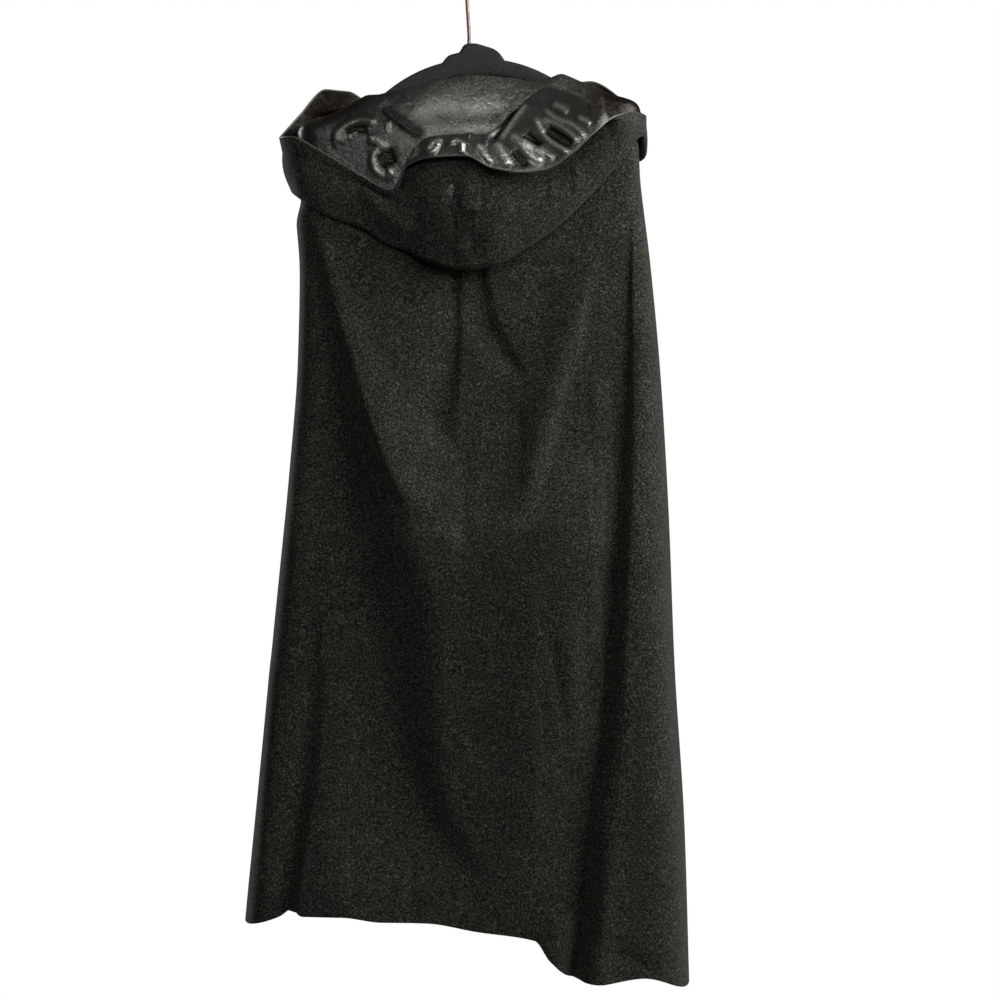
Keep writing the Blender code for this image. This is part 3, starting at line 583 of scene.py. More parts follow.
def body(around, down):
    """Points on the cloak's outer face, in millimetres."""
    around, down = np.broadcast_arrays(np.asarray(around, float), np.asarray(down, float))
    is_back = (around >= LEFT_SIDE) & (around <= RIGHT_SIDE)
    turn = np.where(around < LEFT_SIDE, -around * 4, (1 - around) * 4)
    turn = np.where(is_back, (around - CENTRE_BACK) * 4, turn)
    across = np.sin(np.clip(turn, -1, 1) * math.pi / 2)
    rows = [row[1:] for row in SECTIONS]
    left, right, seam = (curve(rows, down, column) for column in (1, 2, 3))
    gap = between(FRONT_GAP_NECK, FRONT_GAP_HEM, down)
    middle = seam + np.where(is_back, 0, np.where(around < LEFT_SIDE, -gap, gap) / 2)
    side_x = np.where(across < 0, left, right)
    across = np.where(is_back & (across > 0), with_valley(across, down, seam, right), across)
    x = middle + np.abs(side_x - middle) * across

    side = np.where(across < 0, curve(YOKE, down, 1), curve(YOKE, down, 3))
    centre = np.where(is_back, curve(YOKE, down, 2), curve(YOKE, down, 4))
    yoke = between(centre, side, across**2)
    droop = curve(NECK_DROOP, x) * np.clip(1 - down / NECK_DROOP_END, 0, 1) ** 2
    yoke = yoke - np.where(is_back, droop, 0)
    hem = np.where(is_back, curve(BACK_HEM, x), curve(FRONT_HEM, x))
    share = (down - YOKE_END) / (1 - YOKE_END)
    z = np.where(share <= 0, yoke, between(YOKE_BOTTOM, hem, np.clip(share, 0, 1)))

    depth = np.where(is_back, curve(rows, down, 4), curve(rows, down, 5))
    power = np.where(across < 0, *SIDE_POWERS)
    roundness = np.sqrt(np.clip(1 - np.abs(across) ** power, 0, 1))
    relief = np.where(is_back, back_relief(x, z), front_relief(x, z))
    reach = (depth + relief) * roundness
    return np.stack([x, np.where(is_back, -reach, reach), z], axis=-1)


def outward(around, down):
    """Unit normals of the cloak's outer face."""
    steps = (NORMAL_STEP, -NORMAL_STEP)
    right, left = (body(np.clip(around + step, 0, 1), down) for step in steps)
    below, above = (body(around, np.clip(down + step, 0, 1)) for step in steps)
    return unit(np.cross(below - above, right - left))


def grid_normals(grid):
    """Unit normals of a grid of points, from the facets round each."""
    one_way = grid[1:, 1:] - grid[:-1, :-1]
    other_way = grid[1:, :-1] - grid[:-1, 1:]
    facets = np.cross(one_way, other_way)
    normal = np.zeros_like(grid)
    for columns in (slice(None, -1), slice(1, None)):
        for rows in (slice(None, -1), slice(1, None)):
            normal[columns, rows] += facets
    return unit(normal)


def lengths(grid, axis):
    """The distance run along a grid's columns or rows, in millimetres."""
    steps = np.linalg.norm(np.diff(grid, axis=axis), axis=-1)
    start = np.zeros_like(np.take(steps, [0], axis=axis))
    return np.concatenate([start, np.cumsum(steps, axis=axis)], axis=axis)


def traced(corners, run, at):
    """Points along a smooth path through its corners."""
    return np.stack([curve(np.stack([run, corners[:, axis]], axis=1), at) for axis in (0, 1)], axis=1)


def crease(row, x, z, wider):
    """How far a crease along any path lifts the cloth at x, z.

    Its two widths are those on the left and on the right of the path.
    """
    _, path, widths, rise = row
    path = np.array(path, dtype=float)
    run = lengths(path, 0)
    line = traced(path, run / run[-1], np.linspace(0, 1, CREASE_STEPS + 1))
    spots = np.stack([x, z], axis=-1)[..., None, :]
    way = line[1:] - line[:-1]
    off = spots - line[:-1]
    along = np.clip((off * way).sum(-1) / (way**2).sum(-1), 0, 1)
    distance = np.linalg.norm(off - along[..., None] * way, axis=-1)
    nearest = distance.argmin(axis=-1)[..., None]
    turned = way[:, 0] * off[..., 1] - way[:, 1] * off[..., 0]
    distance, along, side = (
        np.take_along_axis(values, nearest, -1)[..., 0] for values in (distance, along, turned)
    )
    share = (nearest[..., 0] + along) / CREASE_STEPS
    width = wider * np.where(side < 0, widths[0], widths[1])
    fade = smooth(share / CREASE_FADE) * smooth((1 - share) / CREASE_FADE)
    return rise * fade * np.exp(-((distance / width) ** 2))


def creased(rows, x, z, wider=1.0, lower=1.0):
    """How far all the creases of a table, made wider and lower, lift the cloth at x, z."""
    return lower * sum(crease(row, x, z, wider) for row in rows)


# ---- making meshes


def placed(name, data):
    """Puts a mesh, light or camera into the scene."""
    made = bpy.data.objects.new(name, data)
    bpy.context.collection.objects.link(made)
    return made


def solid(name, points, faces, finish, run=None, ridge=None):
    """A closed shape from points in millimetres.

    The run along the cloth becomes its UV map, and how high its creases stand its "ridge".
    """
    mesh = bpy.data.meshes.new(name)
    mesh.from_pydata((np.asarray(points) * MM).tolist(), [], faces)
    if run is not None:
        layer = mesh.uv_layers.new(name="cloth")
        corner = np.empty(len(mesh.loops), dtype=np.int32)
        mesh.loops.foreach_get("vertex_index", corner)
        layer.data.foreach_set("uv", (run[corner] * MM).astype(np.float32).ravel())
    if ridge is not None:
        mesh.attributes.new("ridge", "FLOAT", "POINT").data.foreach_set("value", ridge.astype(np.float32))
    mesh.update()
    made = bmesh.new()
    made.from_mesh(mesh)
    bmesh.ops.recalc_face_normals(made, faces=made.faces)
    made.to_mesh(mesh)
    made.free()
    mesh.materials.append(finish)
    mesh.shade_smooth()
    mesh.set_sharp_from_angle(angle=math.radians(SHARP))
    return placed(name, mesh)


def cloth(name, outer, inner, finish, ridge=None):
    """A closed wall of cloth between two grids of points (in millimetres)."""
    columns, rows = outer.shape[:2]
    number = np.arange(columns * rows).reshape(columns, rows)
    a, b, c, d = number[:-1, :-1], number[1:, :-1], number[1:, 1:], number[:-1, 1:]
    face = np.stack([a, b, c, d], axis=-1).reshape(-1, 4)
    back = face[:, ::-1] + number.size
    loop = np.concatenate([number[:, 0], number[-1, 1:], number[-2::-1, -1], number[0, -2:0:-1]])
    after = np.roll(loop, -1)
    rim = np.stack([after, loop, loop + number.size, after + number.size], axis=-1)
    points = np.concatenate([outer.reshape(-1, 3), inner.reshape(-1, 3)])
    run = np.stack([lengths(outer, 0), lengths(outer, 1)], axis=-1).reshape(-1, 2)
    faces = np.concatenate([face, back, rim]).tolist()
    if ridge is not None:
        ridge = np.tile(ridge.ravel(), 2)
    return solid(name, points, faces, finish, np.tile(run, (2, 1)), ridge)


def loft(name, rings, finish):
    """A solid through rings of points, capped at both ends."""
    count, sides = rings.shape[:2]
    number = np.arange(count * sides).reshape(count, sides)
    last, after = number[:-1], number[1:]
    faces = np.stack([last, np.roll(last, -1, axis=1), np.roll(after, -1, axis=1), after], axis=-1)
    faces = [*faces.reshape(-1, 4).tolist(), number[0].tolist(), number[-1].tolist()]
    return solid(name, rings.reshape(-1, 3), faces, finish)


def tube(name, spots, radius, finish, up, sides):
    """A round tube along a path of points, with domed ends."""
    spots = np.asarray(spots, dtype=float)
    way = unit(np.gradient(spots, axis=0))
    turns = np.radians(DOME_TURNS)[:, None]
    first = spots[0] - way[0] * radius * np.sin(turns)
    last = spots[-1] + way[-1] * radius * np.sin(turns[::-1])
    dome = radius * np.cos(turns[:, 0])
    radii = np.concatenate([dome, np.full(len(spots), float(radius)), dome[::-1]])[:, None, None]
    spots = np.concatenate([first, spots, last])
    way = np.concatenate([way[[0] * len(turns)], way, way[[-1] * len(turns)]])
    side = unit(np.cross(way, up))
    lift = np.cross(side, way)
    turn = circle(sides)[None, :, None]
    round_it = side[:, None] * np.cos(turn) + lift[:, None] * np.sin(turn)
    return loft(name, spots[:, None] + radii * round_it, finish)


def spaced(start, finish, steps, length, ends=(True, True)):
    """Even places from start up to finish, with a cut edge's close rows at either end."""
    places = np.linspace(start, finish, steps + 1)
    rim = np.array(RIM) * ((finish - start) / length)
    if ends[0]:
        places = [*(start + rim), *(at for at in places if at > start + RIM_CLEAR * rim[-1])]
    if ends[1]:
        places = [*(at for at in places if at < finish - RIM_CLEAR * rim[-1]), *(finish - rim[::-1])]
    return np.array(places)


def rounding(count, start=RIM_SHARE, finish=RIM_SHARE):
    """The share of the thickness in each row, less toward an edge."""
    share = np.ones(count)
    share[: len(start)] = start
    share[-len(finish) :] = finish[::-1]
    return share


def lapped(grid):
    """Pushes a grid's two side columns out by half the lap of a seam."""
    for edge, inner in ((0, 1), (-1, -2)):
        grid[edge] = grid[edge] + unit(grid[edge] - grid[inner]) * SEAM_LAP / 2
    return grid


# ---- the cloak's panels


def panel(name, start, finish, columns, width):
    """One panel of the cloak, with its seams, turned hem and front facing."""
    around = spaced(start, finish, columns, width, (start == 0, finish == 1))[:, None]
    down = spaced(0, 1, PANEL_ROWS, CLOAK_LENGTH)[None, :]
    face = body(around, down)
    normals = outward(around + 0 * down, down + 0 * around)
    across = lengths(face, 0)
    from_left, from_right = across, across[-1:] - across
    to_hem = lengths(face[:, ::-1], 1)[:, ::-1]
    layers = within(HEM_TURN, to_hem)
    is_front = start == 0 or finish == 1
    if is_front:
        from_edge, from_seam = (from_left, from_right) if start == 0 else (from_right, from_left)
        layers = np.maximum(layers, within(FACING, from_edge))
    else:
        from_seam = np.minimum(from_left, from_right)
        face = face + normals * creased(BACK_CREASES, face[..., 0], face[..., 2])[..., None]
    layers = np.maximum(layers, within(SEAM_ALLOWANCE, from_seam))
    thickness = WOOL + TURN_EXTRA * layers
    sides = [RIM_SHARE if at in (0, 1) else SEAM_SHARE for at in (start, finish)]
    share = rounding(face.shape[0], *sides)[:, None] * rounding(face.shape[1])[None, :]
    middle = face - normals * thickness[..., None] / 2
    half = normals * (thickness * share)[..., None] / 2
    if is_front:
        edge, rows = np.abs(from_edge - STITCH_IN).argmin(axis=0), np.arange(face.shape[1])
        stitch_lines[name] = face[edge, rows] + normals[edge, rows] * THREAD / 2
    return cloth(name, lapped(middle + half), lapped(middle - half), WOOL_CLOTH)


# ---- the hood


def hood_column(around):
    """The hood's middle surface at one place around the neck, from neck seam to face edge.

    It goes down the cloak, round the roll at the bottom, up the outer wall and over the lip.
    """
    z_bottom, *face, belly, lip = [float(curve(HOOD, around, column)) for column in range(1, 7)]
    roll = HOOD_ROLL[0] + HOOD_ROLL[1] * belly
    depths = np.linspace(0, HOOD_DEEPEST, HOOD_DEPTHS)
    heights = body(around, depths)[:, 2]
    deepest = np.interp(-(z_bottom + WOOL + roll), -heights, depths)
    share = np.linspace(0, 1, HOOD_ROWS["inner"] + 1)
    inner_down = share * deepest
    base = body(around, inner_down)
    normals = outward(np.full_like(inner_down, around), inner_down)
    standing = min(HOOD_CLEAR, HOOD_CLEAR_THIN[0] + HOOD_CLEAR_THIN[1] * belly)
    clear = WOOL + HOOD_SEAM_CLEAR + standing * np.sin(share[:, None] * math.pi / 2)
    inner = base + normals * clear
    away = unit(normals[-1] * np.array([1, 1, 0]))
    down = np.array([0, 0, -1])
    centre = inner[-1] + away * roll
    turns = np.linspace(0, math.pi, HOOD_ROWS["roll"] + 2)[1:-1, None]
    rolled = centre - away * roll * np.cos(turns) + down * roll * np.sin(turns)

    face = np.array(face)
    start = centre + away * roll
    turned = smooth((lip - LIP_LEAST) / (LIP_FULL - LIP_LEAST))
    lip_out = face - (down + away * LIP_LEAN) * lip
    top, edge = (
        between(between(face, start, low), high, turned)
        for low, high in zip(LIP_LOW_STARTS, (lip_out - away * LIP_TOP, lip_out))
    )
    rise = np.linspace(0, 1, HOOD_ROWS["outer"] + 1)[:, None]
    outer = between(start, top, rise) + away * belly * np.sin(rise * math.pi)
    turn = np.linspace(0, math.pi, HOOD_ROWS["crest"] + 2)[1:-1, None]
    up = (lip_out - face) / max(lip, 1) * LIP_TOP / 2 * turned
    crest = (top + edge) / 2 + (top - edge) / 2 * np.cos(turn) + up * np.sin(turn)
    over = np.linspace(0, 1, HOOD_ROWS["face"] + 1)[:, None]
    fallen = between(edge, face, over) + away * LIP_SWELL * lip * turned * np.sin(over * math.pi)
    return np.vstack([inner, rolled, outer, crest, fallen])


def hood_half(side, start, finish):
    """The wool and the satin of one half of the hood."""
    places = spaced(start, finish, HOOD_COLUMNS, HOOD_AROUND, (start == 0, finish == 1))
    middle = np.array([hood_column(at) for at in places])
    normals = -grid_normals(middle)
    x, z = middle[..., 0], middle[..., 2]
    row = np.arange(middle.shape[1])
    is_far = row <= HOOD_ROWS["inner"]
    is_lip = row >= middle.shape[1] - HOOD_ROWS["face"] - HOOD_ROWS["crest"] - 1
    is_outer = (row > HOOD_ROWS["inner"] + HOOD_ROWS["roll"]) & ~is_lip
    to_edge = lengths(middle[:, ::-1], 1)[:, ::-1]
    wool_lift = creased(HOOD_CREASES, x, z) * is_outer * smooth(to_edge / CREASE_CLEAR)
    far_lift = creased(FAR_CREASES, x, z, *SATIN_SOFT) * is_far
    lip_lift = creased(LIP_CREASES, x, z, *SATIN_SOFT) * is_lip
    satin_lift = (far_lift + lip_lift) * smooth(to_edge / CREASE_CLEAR)
    sides = [SEAM_SHARE if at == CENTRE_BACK else RIM_SHARE for at in (start, finish)]
    share = (rounding(len(places), *sides)[:, None] * rounding(middle.shape[1])[None, :])[..., None]
    for name, reach, lift, finish in (
        ("hood", WOOL, wool_lift, WOOL_CLOTH),
        ("lining", -SATIN, -satin_lift, SATIN_CLOTH),
    ):
        from_middle = math.copysign(HOOD_PLY_GAP / 2, reach) + reach / 2 + lift
        ply = middle + normals * from_middle[..., None]
        half = normals * reach / 2 * share
        # The satin's crease heights, which its material turns into painted highlight on ridges and painted
        # shade in hollows.
        ridge = None if name == "hood" else satin_lift
        cloth(f"{name}_{side}_cloth", lapped(ply + half), lapped(ply - half), finish, ridge)
    edge = np.abs(to_edge - STITCH_IN).argmin(axis=1)
    column = np.arange(len(places))
    over = HOOD_PLY_GAP / 2 + WOOL + THREAD / 2
    stitch_lines[f"hood_{side}"] = middle[column, edge] + normals[column, edge] * over
    return middle[:, -1]


# ---- finishes


def socket(found, name):
    """One of a node's sockets, by its name or, where two share a name, its identifier."""
    return next(one for one in found if name in (one.identifier, one.name))


def feed(tree, node, inputs):
    """Gives a node its inputs, each a value or another node's socket."""
    for name, value in inputs.items():
        if isinstance(value, bpy.types.NodeSocket):
            tree.links.new(value, socket(node.inputs, name))
        else:
            socket(node.inputs, name).default_value = value


def add(tree, kind, inputs=None, **settings):
    """Adds a node to a tree, with its settings and its inputs."""
    node = tree.nodes.new(kind)
    for name, value in settings.items():
        setattr(node, name, value)
    feed(tree, node, inputs or {})
    return node


def node_group(name, kind, sockets):
    """A node group, what comes into it, and its sockets' identifiers."""
    tree = bpy.data.node_groups.new(name, kind)
    identifiers = {}
    for label, way, value in sockets:
        made = tree.interface.new_socket(label, in_out=way, socket_type="NodeSocket" + value)
        identifiers[label] = made.identifier
    return tree, add(tree, "NodeGroupInput").outputs, identifiers


def noise(tree, place, size, detail, roughness, distortion=0.0):
    """A noise pattern of a number of grains per metre."""
    inputs = {"Vector": place, "Scale": size, "Detail": detail, "Roughness": roughness}
    return add(tree, "ShaderNodeTexNoise", {**inputs, "Distortion": distortion}).outputs["Fac"]


def ranged(tree, value, low, high, to_low=0.0, to_high=1.0):
    """A value moved from one range to another."""
    inputs = {"Value": value, "From Min": low, "From Max": high, "To Min": to_low, "To Max": to_high}
    return add(tree, "ShaderNodeMapRange", inputs).outputs["Result"]


def sums(tree, operation, first, second=0.0):
    """Two values, or a value and a number, added, multiplied or raised."""
    inputs = {"Value": first, "Value_001": second}
    return add(tree, "ShaderNodeMath", inputs, operation=operation).outputs["Value"]


def mixed(tree, share, first, second, way="MIX"):
    """Two colours mixed by a share."""
    inputs = {"Factor_Float": share, "A_Color": first, "B_Color": second}
    made = add(tree, "ShaderNodeMix", inputs, data_type="RGBA", blend_type=way)
    return socket(made.outputs, "Result_Color")


def fleck_group():
    """Fine grains in broad soft patches: the nap of wool, the grain of moulding and wire."""
    sockets = (
        ("Place", "INPUT", "Vector"),
        ("Grains per metre", "INPUT", "Float"),
        ("Patches per metre", "INPUT", "Float"),
        ("Rarity of light grains", "INPUT", "Float"),
        ("Dark", "INPUT", "Color"),
        ("Light", "INPUT", "Color"),
        ("Colour", "OUTPUT", "Color"),
        ("Height", "OUTPUT", "Float"),
    )
    tree, given, _ = node_group("fleck", "ShaderNodeTree", sockets)
    grains = noise(tree, given["Place"], given["Grains per metre"], *GRAIN_NOISE)
    patches = noise(tree, given["Place"], given["Patches per metre"], *PATCH_NOISE)
    spread = ranged(tree, grains, *GRAIN_RANGE)
    share = sums(tree, "POWER", spread, given["Rarity of light grains"])
    colour = mixed(tree, share, given["Dark"], given["Light"])
    colour = mixed(tree, 1.0, colour, ranged(tree, patches, *PATCH_RANGE), "MULTIPLY")
    add(tree, "NodeGroupOutput", {"Colour": colour, "Height": sums(tree, "ADD", spread, patches)})
    return tree


def fleck(tree, place, grains, patches, rarity, dark, light):
    """The fleck pattern with its own values: its colour and its height."""
    inputs = {
        "Place": place,
        "Grains per metre": grains,
        "Patches per metre": patches,
        "Rarity of light grains": rarity,
        "Dark": (*dark, 1),
        "Light": (*light, 1),
    }
    made = add(tree, "ShaderNodeGroup", inputs, node_tree=FLECK)
    return made.outputs["Colour"], made.outputs["Height"]


def new_material(name):
    """A material and its node tree."""
    made = bpy.data.materials.new(name)
    made.use_nodes = True
    return made, made.node_tree


def shaded(tree, height, strength, depth, inputs):
    """Gives the shader its inputs, and a bump that is a number of millimetres deep."""
    bump = add(tree, "ShaderNodeBump", {"Strength": strength, "Distance": depth * MM, "Height": height})
    feed(tree, tree.nodes["Principled BSDF"], {**inputs, "Normal": bump.outputs["Normal"]})


def coating_wool():
    """Black milled wool: matt, with pale fibre tips standing out of a dark nap."""
    made, tree = new_material("black coating wool")
    place = add(tree, "ShaderNodeTexCoord").outputs["Object"]
    colour, height = fleck(tree, place, *WOOL_FLECK)
    inputs = {
        "Base Color": colour,
        "Roughness": 0.95,
        "Specular IOR Level": 0.2,
        "Sheen Weight": 0.12,
        "Sheen Roughness": 0.55,
    }
    shaded(tree, height, *WOOL_BUMP, inputs)
    return made


def lining_satin():
    """Black satin: dark with a green-grey gleam, crinkled; a painted brownish reflection high at its sides,
    painted shade toward either side, and a painted gleam on ridges with painted shade in hollows.
    """
    made, tree = new_material("black lining satin")
    coordinates = add(tree, "ShaderNodeTexCoord")
    place = coordinates.outputs["Object"]
    colour, _ = fleck(tree, place, *SATIN_FLECK)
    split = add(tree, "ShaderNodeSeparateXYZ", {"Vector": place})
    across, height = split.outputs["X"], split.outputs["Z"]
    # Painted reflection: a brownish tint mixed in toward the top of the lining's sides.
    rim = ranged(tree, sums(tree, "ABSOLUTE", across), *REFLECTION_SIDES)
    painted_reflection = sums(tree, "MULTIPLY", ranged(tree, height, *REFLECTION_HEIGHTS), rim)
    colour = mixed(tree, painted_reflection, colour, (*REFLECTION_TINT, 1))
    # Painted shade: the colour is darkened toward either side.
    for rim, within, least in PAINTED_SIDE_SHADES:
        colour = mixed(tree, 1.0, colour, ranged(tree, across, rim, within, least, 1.0), "MULTIPLY")
    # Painted highlight and shade: the colour is lighter on crease ridges and darker in hollows.
    standing = add(tree, "ShaderNodeAttribute", attribute_name="ridge")
    gleam = ranged(tree, standing.outputs["Fac"], *PAINTED_RIDGE_GLEAM)
    colour = mixed(tree, 1.0, colour, gleam, "MULTIPLY")
    crinkle = noise(tree, place, *CRINKLE_NOISE)
    weave = add(tree, "ShaderNodeTexWave", {"Scale": WEAVE[0], "Vector": coordinates.outputs["UV"]})
    height = sums(tree, "ADD", crinkle, sums(tree, "MULTIPLY", weave.outputs["Fac"], WEAVE[1]))
    inputs = {
        "Base Color": colour,
        "Roughness": ranged(tree, crinkle, *CRINKLE_GLOSS),
        "Metallic": 0.7,
        "Specular IOR Level": 0.8,
    }
    shaded(tree, height, *SATIN_BUMP, inputs)
    return made


def grained(name, values, roughness, bump, metallic=0.0, coat=0.0, specular=0.5):
    """A hard finish with the fleck as its grain."""
    made, tree = new_material(name)
    colour, height = fleck(tree, add(tree, "ShaderNodeTexCoord").outputs["Object"], *values)
    inputs = {
        "Base Color": colour,
        "Roughness": ranged(tree, height, *GRAIN_HEIGHTS, *roughness),
        "Metallic": metallic,
        "Coat Weight": coat,
        "Specular IOR Level": specular,
    }
    shaded(tree, height, *bump, inputs)
    return made


# Noises: detail, roughness and distortion. Ranges: from, to, and what they become.
GRAIN_NOISE = (3.0, 0.7)
GRAIN_RANGE = (0.22, 0.8)
GRAIN_HEIGHTS = (0.4, 1.4)  # over which a hard finish changes its roughness
PATCH_NOISE = (3.0, 0.55, 0.3)
PATCH_RANGE = (0.3, 0.7, 0.84, 1.18)  # patches darken or lighten the grains
# Flecks: grains and patches per metre, rarity of light grains, dark, light. Bumps: strength, depth.
WOOL_FLECK = (430.0, 26.0, 3.4, (0.001, 0.001, 0.0008), (0.36, 0.36, 0.278))
WOOL_BUMP = (0.35, 0.9)
SATIN_FLECK = (700.0, 30.0, 1.6, (0.045, 0.047, 0.041), (0.245, 0.253, 0.22))
SATIN_BUMP = (0.5, 1.6)
# Painted reflection: a brownish tint toward the top of the lining's sides stands in for brown surroundings
# mirrored in the satin.
REFLECTION_TINT = (0.055, 0.04, 0.028)
REFLECTION_HEIGHTS = (-0.245, -0.205)  # heights between which the painted brownish reflection grows
REFLECTION_SIDES = (0.12, 0.18)  # and how far out
PAINTED_SIDE_SHADES = ((-0.13, -0.05, 0.4), (0.19, 0.15, 0.3))  # painted shade: satin is darker toward either side
PAINTED_RIDGE_GLEAM = (-0.8, 2.4, 0.1, 4.8)  # painted shade in a hollow 0.8 mm deep to painted highlight on a ridge 2.4 mm high
CRINKLE_NOISE = (95.0, 3.0, 0.55, 1.2)  # crinkles per metre first
CRINKLE_GLOSS = (0.3, 0.7, 0.2, 0.36)
WEAVE = (700.0, 0.03)  # its size and height
FLECK = fleck_group()
WOOL_CLOTH = coating_wool()
SATIN_CLOTH = lining_satin()
MOULDING = grained(
    "black moulding", (650.0, 40.0, 2.2, (0.008, 0.008, 0.0075), (0.16, 0.155, 0.15)),
    (0.42, 0.62), (0.25, 0.4), specular=0.35,
)
# Painted highlight: the piping's grains are lighter than black satin's, standing in for the thin light line
# along the rolled face edge.
PIPING_SATIN = grained(
    "black piping satin", (850.0, 60.0, 1.2, (0.04, 0.04, 0.036), (0.34, 0.34, 0.31)),
    (0.3, 0.45), (0.4, 0.3), metallic=0.4, specular=0.8,
)
BRONZED_WIRE = grained(
    "bronzed wire", (520.0, 60.0, 1.0, (0.06, 0.045, 0.038), (0.5, 0.4, 0.36)),
    (0.3, 0.5), (0.2, 0.2), metallic=1.0,
)
HORN = grained(
    "black horn", (160.0, 900.0, 2.0, (0.006, 0.006, 0.006), (0.05, 0.045, 0.04)),
    (0.2, 0.36), (0.15, 0.1), coat=0.4,
)
SEWING_THREAD = grained(
    "black thread", (1800.0, 90.0, 1.4, (0.012, 0.012, 0.011), (0.16, 0.16, 0.14)),
    (0.5, 0.7), (0.4, 0.1),
)
PALE_FLOOR = grained(
    "pale floor", (300.0, 3.0, 1.0, (0.72, 0.72, 0.71), (0.8, 0.8, 0.79)),
    (0.7, 0.85), (0.05, 0.1), specular=0.2,
)


# ---- hanger, hook and closure


def bar_section(x):
    """A ring of points round the hanger's bar at x, before it is tilted."""
    arch = ARCH_RADIUS - math.sqrt(ARCH_RADIUS**2 - min(abs(x), ARCH_HALF) ** 2)
    arm = (abs(x) - ARCH_HALF) / (ARM_REACH - ARCH_HALF) * ARM_DROP
    line = -arch - max(arm, 0)
    top = line + (float(curve(CROWN, x)) if CROWN[0][0] < x < CROWN[-1][0] else 0)
    bottom = line - BAR_HEIGHT - (BAR_END_HEIGHT - BAR_HEIGHT) * abs(x) / ARM_REACH
    into_end = max(0, (abs(x) - ARM_REACH + BAR_END) / BAR_END)
    size = math.sqrt(max(1 - into_end**2, BAR_TIP))
    turn = circle(BAR_SIDES)
    across, up = (np.sign(way) * np.abs(way) ** BAR_SQUARENESS for way in (np.cos(turn), np.sin(turn)))
    y = across * BAR_THICKNESS / 2 * size
    z = (top + bottom) / 2 + up * (top - bottom) / 2 * size
    return np.stack([np.full_like(turn, x), y, z], axis=-1)


def hanger_bar():
    """The moulded bar, tilted a little to the wearer's left."""
    arms = np.linspace(-ARM_REACH, ARM_REACH, BAR_COLUMNS["arms"])
    arms = arms[np.abs(arms) < ARM_REACH - BAR_END]
    ends = ARM_REACH - BAR_END * (1 - np.cos(np.linspace(0, math.pi / 2, BAR_COLUMNS["end"])))
    crown = np.linspace(*CROWN_SPAN, BAR_COLUMNS["crown"])
    places = np.unique(np.round(np.concatenate([-ends, arms, ends, crown]), 3))
    rings = np.array([bar_section(x) for x in places])
    x, y, z = rings[..., 0], rings[..., 1], rings[..., 2]
    cosine, sine = math.cos(BAR_TILT), math.sin(BAR_TILT)
    tilted = np.stack([x * cosine - z * sine, y, x * sine + z * cosine + BAR_TOP], axis=-1)
    return loft("hanger_bar_moulding", tilted, MOULDING)


def hanger_hook():
    """The wire hook, from the bar's crown up and round the rail."""
    centre_z = WIRE / 2 - HOOK_RADIUS
    turns = np.linspace(HOOK_START, HOOK_START - HOOK_SWEEP, HOOK_STEPS["bend"])
    bend = np.stack([HOOK_RADIUS * np.cos(turns), centre_z + HOOK_RADIUS * np.sin(turns)], axis=-1)
    top = np.array(STEM[-1])
    swell = [between(top, bend[0], np.array(share)) for share in STEM_SWELL]
    corners = np.array([*STEM, *swell, bend[0]])
    run = lengths(corners, 0)
    stem = traced(corners, run, np.linspace(0, run[-1], HOOK_STEPS["stem"])[:-1])
    path = np.concatenate([stem, bend])
    path = np.stack([path[:, 0], np.zeros(len(path)), path[:, 1]], axis=-1)
    return tube("hanger_hook_wire", path, WIRE / 2, BRONZED_WIRE, (0, 1, 0), WIRE_SIDES)


def neck_tab():
    """The tab across the two fronts, rounded at its free end."""
    # Both halves run from a higher place to a lower one, for which spaced() leaves only the
    # close rows at the lower one. The tab is a straight strip from the left front's edge.
    left = spaced(TAB_AROUND[0], 0, TAB_STEPS[0], TAB_SPANS[0])
    right = spaced(1, TAB_AROUND[1], TAB_STEPS[0], TAB_SPANS[0])
    around = np.concatenate([left, right])[:, None]
    share = np.linspace(0, 1, len(around))
    into_end = np.clip((share - 1 + TAB_ROUNDED) / TAB_ROUNDED, 0, TAB_TIP)
    half = (TAB_DOWN[1] - TAB_DOWN[0]) / 2 * np.sqrt(1 - into_end**2)[:, None]
    rows = spaced(-1, 1, TAB_STEPS[1], TAB_SPANS[1])
    down = sum(TAB_DOWN) / 2 + half * rows
    base = body(around, down)
    normals = outward(around + 0 * down, down)
    thick = TAB_THICKNESS * (rounding(len(around))[:, None] * rounding(len(rows)))[..., None]
    middle = base + normals * (TAB_CLEAR + TAB_THICKNESS / 2)
    over = middle + normals * (TAB_THICKNESS / 2 + THREAD / 4)
    low, high = (np.abs(rows - at).argmin() for at in (-TAB_STITCHED, TAB_STITCHED))
    stitch_lines["neck_tab"] = np.concatenate([over[2:-4, low], over[-4, low:high], over[-4:2:-1, high]])
    return cloth("neck_tab_wool", middle + normals * thick / 2, middle - normals * thick / 2, WOOL_CLOTH)


def ring(radius, height, turn):
    """A level ring of points."""
    return np.stack([radius * np.cos(turn), radius * np.sin(turn), np.full_like(turn, height)], axis=-1)


